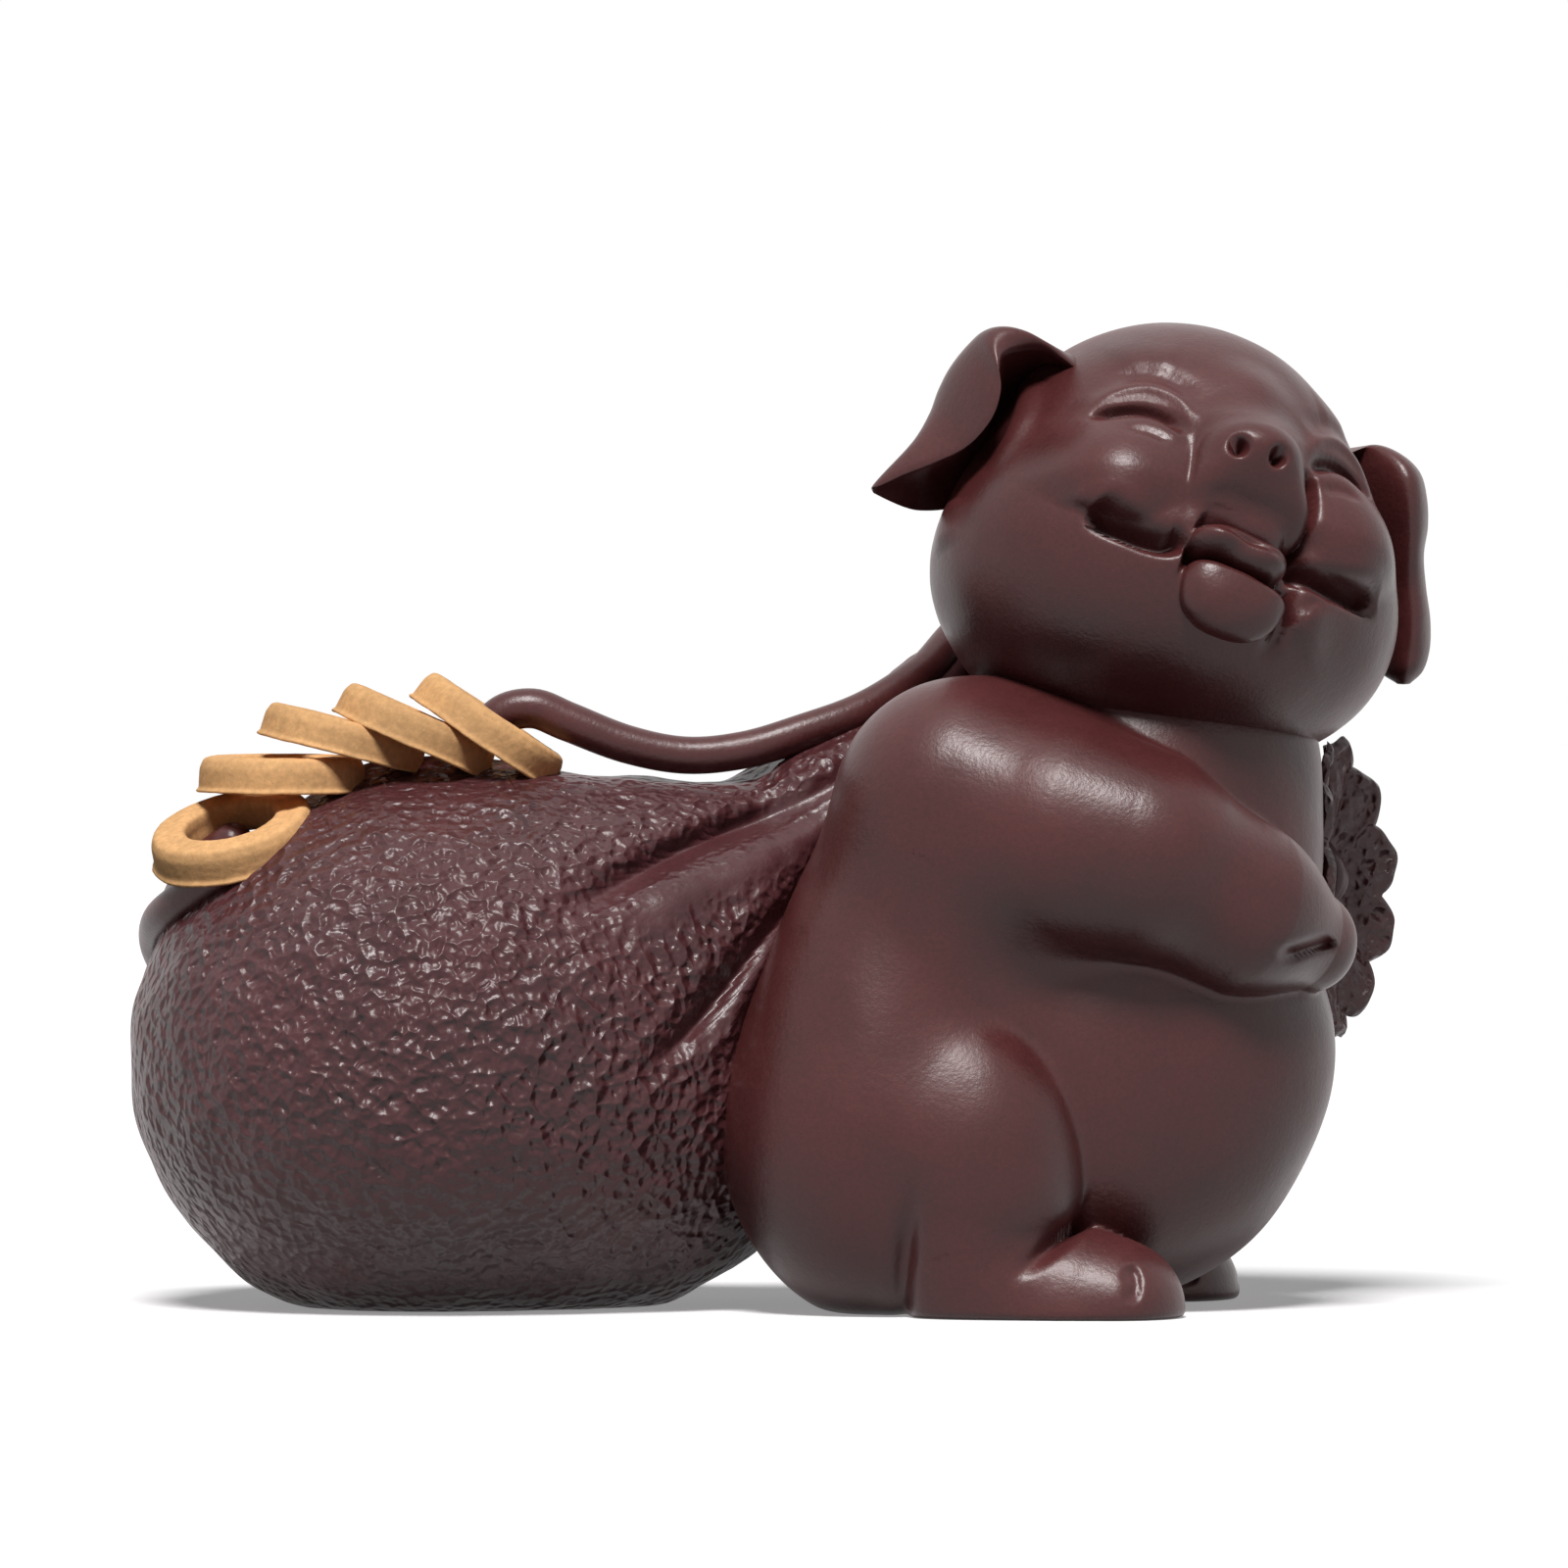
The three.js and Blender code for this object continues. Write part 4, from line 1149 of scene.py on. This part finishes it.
class PigStageSettings(bpy.types.PropertyGroup):
    """The floor, the lamps and the camera"""

    floor_colour: FloatVectorProperty(
        name="Floor", description="Colour of the floor", subtype="COLOR",
        size=3, min=0, max=1, default=(0.86, 0.86, 0.88))
    key_strength: FloatProperty(
        name="Key Lamp", description="Strength of the soft lamp above the viewer", min=0, max=10,
        default=3.5)
    key_width: FloatProperty(
        name="Lamp Width", description="Angle that the lamp fills, seen from the figure",
        subtype="ANGLE", min=0.01, max=1.5, default=0.3)
    fill: FloatProperty(
        name="Fill", description="Brightness of the pale room on the clay", min=0, max=2,
        default=0.06)
    bounce: FloatProperty(
        name="Bounce", description="How much light the floor throws back up", subtype="FACTOR",
        min=0, max=1, default=0.12)
    camera_distance: FloatProperty(
        name="Camera Distance", description="From the camera to the figure", subtype="DISTANCE",
        unit="LENGTH", min=0.2, max=5, default=1.0)
    view_width: FloatProperty(
        name="View Width", description="Width of the picture at the figure", subtype="DISTANCE",
        unit="LENGTH", min=0.05, max=1, precision=4, default=0.1444)


# Operators.


class BodyPiece:
    """What the operators for the pig's body have in common: skins out of the body's union."""

    def build_pair(self, context, kind, first, spine, columns, rows, reach):
        """The right and the left piece of a kind, of which the right one is part number first."""
        for own, (name, side) in enumerate(SIDES.items(), start=first):
            self.build(context, f"{name}_{kind}", own, spine(side), columns, rows, reach=reach)

    def build(self, context, name, own, spine, columns, rows, axis=None, reach=40):
        """One skin round a spine, for one of the union's parts."""
        parts, softness = body_fields()
        whole = on_table(joined(parts, softness))
        own_part = on_table(joined(parts, softness, own))
        skin = wrap(own_part, spine, columns, rows, axis, reach)
        skin_piece(name, [name], skin, whole, PIG, purple_clay(context))


class PIG_OT_torso(BodyPiece, bpy.types.Operator):
    """Belly, chest and neck as one skin round an upright axis"""

    bl_idname = "pig.torso"
    bl_label = "Torso"

    def execute(self, context):
        self.build(context, "torso_shell", 0, [(2, 0, 34)], 280, 230, (0, 0, 1), 45)
        return {"FINISHED"}


class PIG_OT_haunches(BodyPiece, bpy.types.Operator):
    """Both haunches, each a skin round the line from hip to knee"""

    bl_idname = "pig.haunches"
    bl_label = "Haunches"

    def execute(self, context):
        self.build_pair(
            context, "haunch", 1,
            lambda side: [(-14, side * 15.5, 16.5), (-6, side * 16, 17.5)], 220, 200, 30,
        )
        return {"FINISHED"}


class PIG_OT_feet(BodyPiece, bpy.types.Operator):
    """Both feet, each a skin round the line from heel to toe"""

    bl_idname = "pig.feet"
    bl_label = "Feet"

    def execute(self, context):
        self.build_pair(
            context, "foot", 3,
            lambda side: [(-5, side * 16.9, 5.5), (5, side * 16.6, 4)], 200, 180, 24,
        )
        return {"FINISHED"}


class PIG_OT_arms(BodyPiece, bpy.types.Operator):
    """Both arms, each a skin round the line from shoulder to hoof"""

    bl_idname = "pig.arms"
    bl_label = "Arms"

    def execute(self, context):
        self.build_pair(
            context, "arm", 5, lambda side: [place for place, _ in ARMS[side]], 180, 230, 24,
        )
        return {"FINISHED"}


class PIG_OT_head(bpy.types.Operator):
    """The head as one skin whose poles lie on the face's axis, with most of its rows on the face"""

    bl_idname = "pig.head"
    bl_label = "Head"

    def execute(self, context):
        parts, softness = face_fields()
        skin = wrap(joined(parts, softness, 0), [(0, 0, 0)], 520, 188, (0, 0, 1), 40, FACE_ROWS)
        skin_piece("head_shell", ["head_shell"], skin, joined(parts, softness), HEAD,
                   purple_clay(context))
        return {"FINISHED"}


class PIG_OT_face(bpy.types.Operator):
    """Snout, lower lip and tongue, each a skin round its own middle"""

    bl_idname = "pig.face"
    bl_label = "Snout, Lip and Tongue"

    def execute(self, context):
        parts, softness = face_fields()
        whole = joined(parts, softness)
        pieces = [
            ("snout", 1, [(-0.4, -1.8, 18.6)], (0, 0, 1), 300, 220),
            ("lower_lip", 2, [(0.3, -12.4, 15.6)], (0, 0, 1), 160, 120),
            ("tongue", 3, [(-3, -8.6, 18), (2.2, -9.2, 18)], None, 160, 120),
        ]
        for name, own, spine, axis, columns, rows in pieces:
            skin = wrap(joined(parts, softness, own), spine, columns, rows, axis, 14)
            skin_piece(name, [name], skin, whole, HEAD, purple_clay(context))
        return {"FINISHED"}


class PIG_OT_ears(bpy.types.Operator):
    """Both ears, each a cupped leaf with a rounded rim"""

    bl_idname = "pig.ears"
    bl_label = "Ears"

    def execute(self, context):
        for name in EARS:
            rings, tips = ear_rings(name)
            piece = surface_mesh(f"{name}_ear", rings, tips, HEAD)
            finish_piece(piece, [f"{name}_ear"], purple_clay(context))
        return {"FINISHED"}


class PIG_OT_sack(bpy.types.Operator):
    """The sack and its gathered neck, two skins of one union"""

    bl_idname = "pig.sack"
    bl_label = "Sack"

    def execute(self, context):
        parts, softness = sack_fields()
        whole = on_table(joined(parts, softness))
        pieces = [
            ("sack_shell", 0, SACK_SPINE, 330, 280, 60),
            ("sack_neck", 1, NECK_PATH[::3], 160, 260, 20),
        ]
        for name, own, spine, columns, rows, reach in pieces:
            own_part = on_table(joined(parts, softness, own))
            skin = wrap(own_part, spine, columns, rows, None, reach)
            skin_piece(name, [name], skin, whole, FIGURE, sack_clay(context),
                       smoothed_by_creases)
        return {"FINISHED"}


class PIG_OT_frill(bpy.types.Operator):
    """The frill that the sack's mouth makes beyond its tie"""

    bl_idname = "pig.frill"
    bl_label = "Frill"

    def execute(self, context):
        rings, tips = frill_rings()
        piece = surface_mesh("sack_frill", rings, tips)
        finish_piece(piece, ["sack_frill"], sack_clay(context))
        return {"FINISHED"}


class PIG_OT_drawstring(bpy.types.Operator):
    """The drawstring and its two ends"""

    bl_idname = "pig.drawstring"
    bl_label = "Drawstring"

    def execute(self, context):
        radius = context.scene.pig_shape.cord_radius / MM
        paths = {"drawstring": np.array(CORD_PATH, float)}
        for name, points in TAILS.items():
            paths[name] = on_sack(points, radius)
        for name, path in paths.items():
            rings, tips = cord_rings(path, radius)
            piece = surface_mesh(name, rings, tips)
            finish_piece(piece, [name], purple_clay(context))
        return {"FINISHED"}


class PIG_OT_coins(bpy.types.Operator):
    """The five coins on top of the sack"""

    bl_idname = "pig.coins"
    bl_label = "Coins"

    def execute(self, context):
        shape = context.scene.pig_shape
        sizes = (shape.coin_radius / MM, shape.coin_thickness / MM, shape.coin_hole / MM)
        for number, pose in enumerate(COINS, start=1):
            rings = coin_turned(coin_rings(shape.seed + number, *sizes), *pose)
            piece = ring_mesh(f"coin_{number}", rings)
            finish_piece(piece, [f"coin_{number}"], coin_clay(context))
        return {"FINISHED"}


FLOOR_HALF = 3.0
FLOOR_GLOW = 0.27  # lifts the floor to the background's tone where it is seen straight
ROOM_TINT = (0.86, 0.9, 1, 1)
KEY_RAISED, KEY_ASIDE = 58, -6  # degrees above the table, and from straight in front
AIM_HEIGHT, AIM_DOWN = 0.04815, 0.3  # metres and degrees


class PIG_OT_stage(bpy.types.Operator):
    """The pale floor, the white room, the soft lamp and the camera"""

    bl_idname = "pig.stage"
    bl_label = "Stage"

    def execute(self, context):
        settings = context.scene.pig_stage
        self.floor(settings)
        self.room(context, settings)
        self.lamps(context, settings)
        self.camera(context, settings)
        context.scene.view_settings.view_transform = "Standard"
        return {"FINISHED"}

    def seen_straight(self, tree):
        """One for camera, glossy and transmission rays, nought for the rest."""
        rays = add_node(tree, "ShaderNodeLightPath", (-900, 300))
        one = add_node(tree, "ShaderNodeMath", (-650, 300), {
            0: rays.outputs["Is Camera Ray"], 1: rays.outputs["Is Glossy Ray"],
        }, operation="MAXIMUM")
        two = add_node(tree, "ShaderNodeMath", (-450, 300), {
            0: one.outputs["Value"], 1: rays.outputs["Is Transmission Ray"],
        }, operation="MAXIMUM")
        return two.outputs["Value"]

    def floor(self, settings):
        """A wide flat sheet: pale, and a little brighter where it is seen straight."""
        mesh = bpy.data.meshes.new("floor")
        corners = [(-1, -1, 0), (1, -1, 0), (1, 1, 0), (-1, 1, 0)]
        mesh.from_pydata((np.array(corners) * FLOOR_HALF).tolist(), [], [(0, 1, 2, 3)])
        floor = in_scene("floor", mesh)
        material = bpy.data.materials.new("floor")
        material.use_nodes = True
        tree = material.node_tree
        straight = self.seen_straight(tree)
        lift = add_node(tree, "ShaderNodeMath", (-250, 300), {
            0: straight, 1: FLOOR_GLOW,
        }, operation="MULTIPLY")
        colour = add_node(tree, "ShaderNodeMix", (-250, 0), {
            0: straight,
            6: (*(c * settings.bounce for c in settings.floor_colour), 1),
            7: (*settings.floor_colour, 1),
        }, data_type="RGBA")
        feed(tree, tree.nodes["Principled BSDF"], {
            "Roughness": 0.9, "Specular IOR Level": 0.0, "Base Color": colour.outputs[2],
            "Emission Color": (1, 1, 1, 1), "Emission Strength": lift.outputs["Value"],
        })
        mesh.materials.append(material)

    def room(self, context, settings):
        """White where it is seen straight, and a pale fill on the clay."""
        world = bpy.data.worlds.new("room")
        world.use_nodes = True
        tree = world.node_tree
        tint = add_node(tree, "ShaderNodeMix", (-250, 0), {
            0: self.seen_straight(tree), 6: ROOM_TINT, 7: (1, 1, 1, 1),
        }, data_type="RGBA")
        level = spread(tree, (-250, 300), self.seen_straight(tree), (0, 1), (settings.fill, 1))
        feed(tree, tree.nodes["Background"], {"Color": tint.outputs[2], "Strength": level})
        context.scene.world = world

    def lamps(self, context, settings):
        """One broad soft lamp high above and behind the viewer, far off, so that the floor is lit
        evenly."""
        lamp = bpy.data.lights.new("key_lamp", "SUN")
        lamp.angle = settings.key_width
        lamp.energy = settings.key_strength
        lamp.color = (1.0, 0.98, 0.96)
        key = bpy.data.objects.new("key_lamp", lamp)
        raised, aside = math.radians(KEY_RAISED), math.radians(KEY_ASIDE)
        way = Vector((math.sin(aside) * math.cos(raised), -math.cos(aside) * math.cos(raised),
                      math.sin(raised)))
        key.location = way
        key.rotation_euler = (-way).to_track_quat("-Z", "Y").to_euler()
        context.scene.collection.objects.link(key)

    def camera(self, context, settings):
        """A long lens, level with the figure's middle and almost level in its aim."""
        view = bpy.data.cameras.new("camera")
        view.sensor_width = 36
        view.lens = view.sensor_width * settings.camera_distance / settings.view_width
        view.clip_start, view.clip_end = 0.01, 20
        camera = bpy.data.objects.new("camera", view)
        down = math.radians(AIM_DOWN)
        aim = Vector((0, 0, AIM_HEIGHT))
        look = Vector((0, math.cos(down), -math.sin(down)))
        camera.location = aim - look * settings.camera_distance
        camera.rotation_euler = look.to_track_quat("-Z", "Y").to_euler()
        context.scene.collection.objects.link(camera)
        context.scene.camera = camera


class PIG_PT_sidebar(bpy.types.Panel):
    """Lists the pieces and their settings"""

    bl_idname = "PIG_PT_sidebar"
    bl_label = "Clay Pig"
    bl_space_type = "VIEW_3D"
    bl_region_type = "UI"
    bl_category = "Clay Pig"

    def draw(self, context):
        for settings in (context.scene.pig_clay, context.scene.pig_shape, context.scene.pig_stage):
            box = self.layout.box()
            for name in settings.bl_rna.properties.keys():
                if name not in ("rna_type", "name"):
                    box.prop(settings, name)
        for operator in OPERATORS:
            self.layout.operator(operator.bl_idname)


SETTINGS = {
    "pig_clay": PigClaySettings,
    "pig_shape": PigShapeSettings,
    "pig_stage": PigStageSettings,
}
OPERATORS = [
    PIG_OT_torso,
    PIG_OT_haunches,
    PIG_OT_feet,
    PIG_OT_arms,
    PIG_OT_head,
    PIG_OT_face,
    PIG_OT_ears,
    PIG_OT_sack,
    PIG_OT_frill,
    PIG_OT_drawstring,
    PIG_OT_coins,
    PIG_OT_stage,
]


def register():
    """Makes the settings, operators and panel known to Blender."""
    for name, settings in SETTINGS.items():
        bpy.utils.register_class(settings)
        setattr(bpy.types.Scene, name, PointerProperty(type=settings))
    for operator in OPERATORS:
        bpy.utils.register_class(operator)
    bpy.utils.register_class(PIG_PT_sidebar)


def unregister():
    """Takes them away again."""
    bpy.utils.unregister_class(PIG_PT_sidebar)
    for operator in reversed(OPERATORS):
        bpy.utils.unregister_class(operator)
    for name, settings in reversed(SETTINGS.items()):
        delattr(bpy.types.Scene, name)
        bpy.utils.unregister_class(settings)


def main():
    """Builds every piece and the stage."""
    register()
    for operator in OPERATORS:
        group, call = operator.bl_idname.split(".")
        getattr(getattr(bpy.ops, group), call)()


if __name__ == "__main__":
    main()
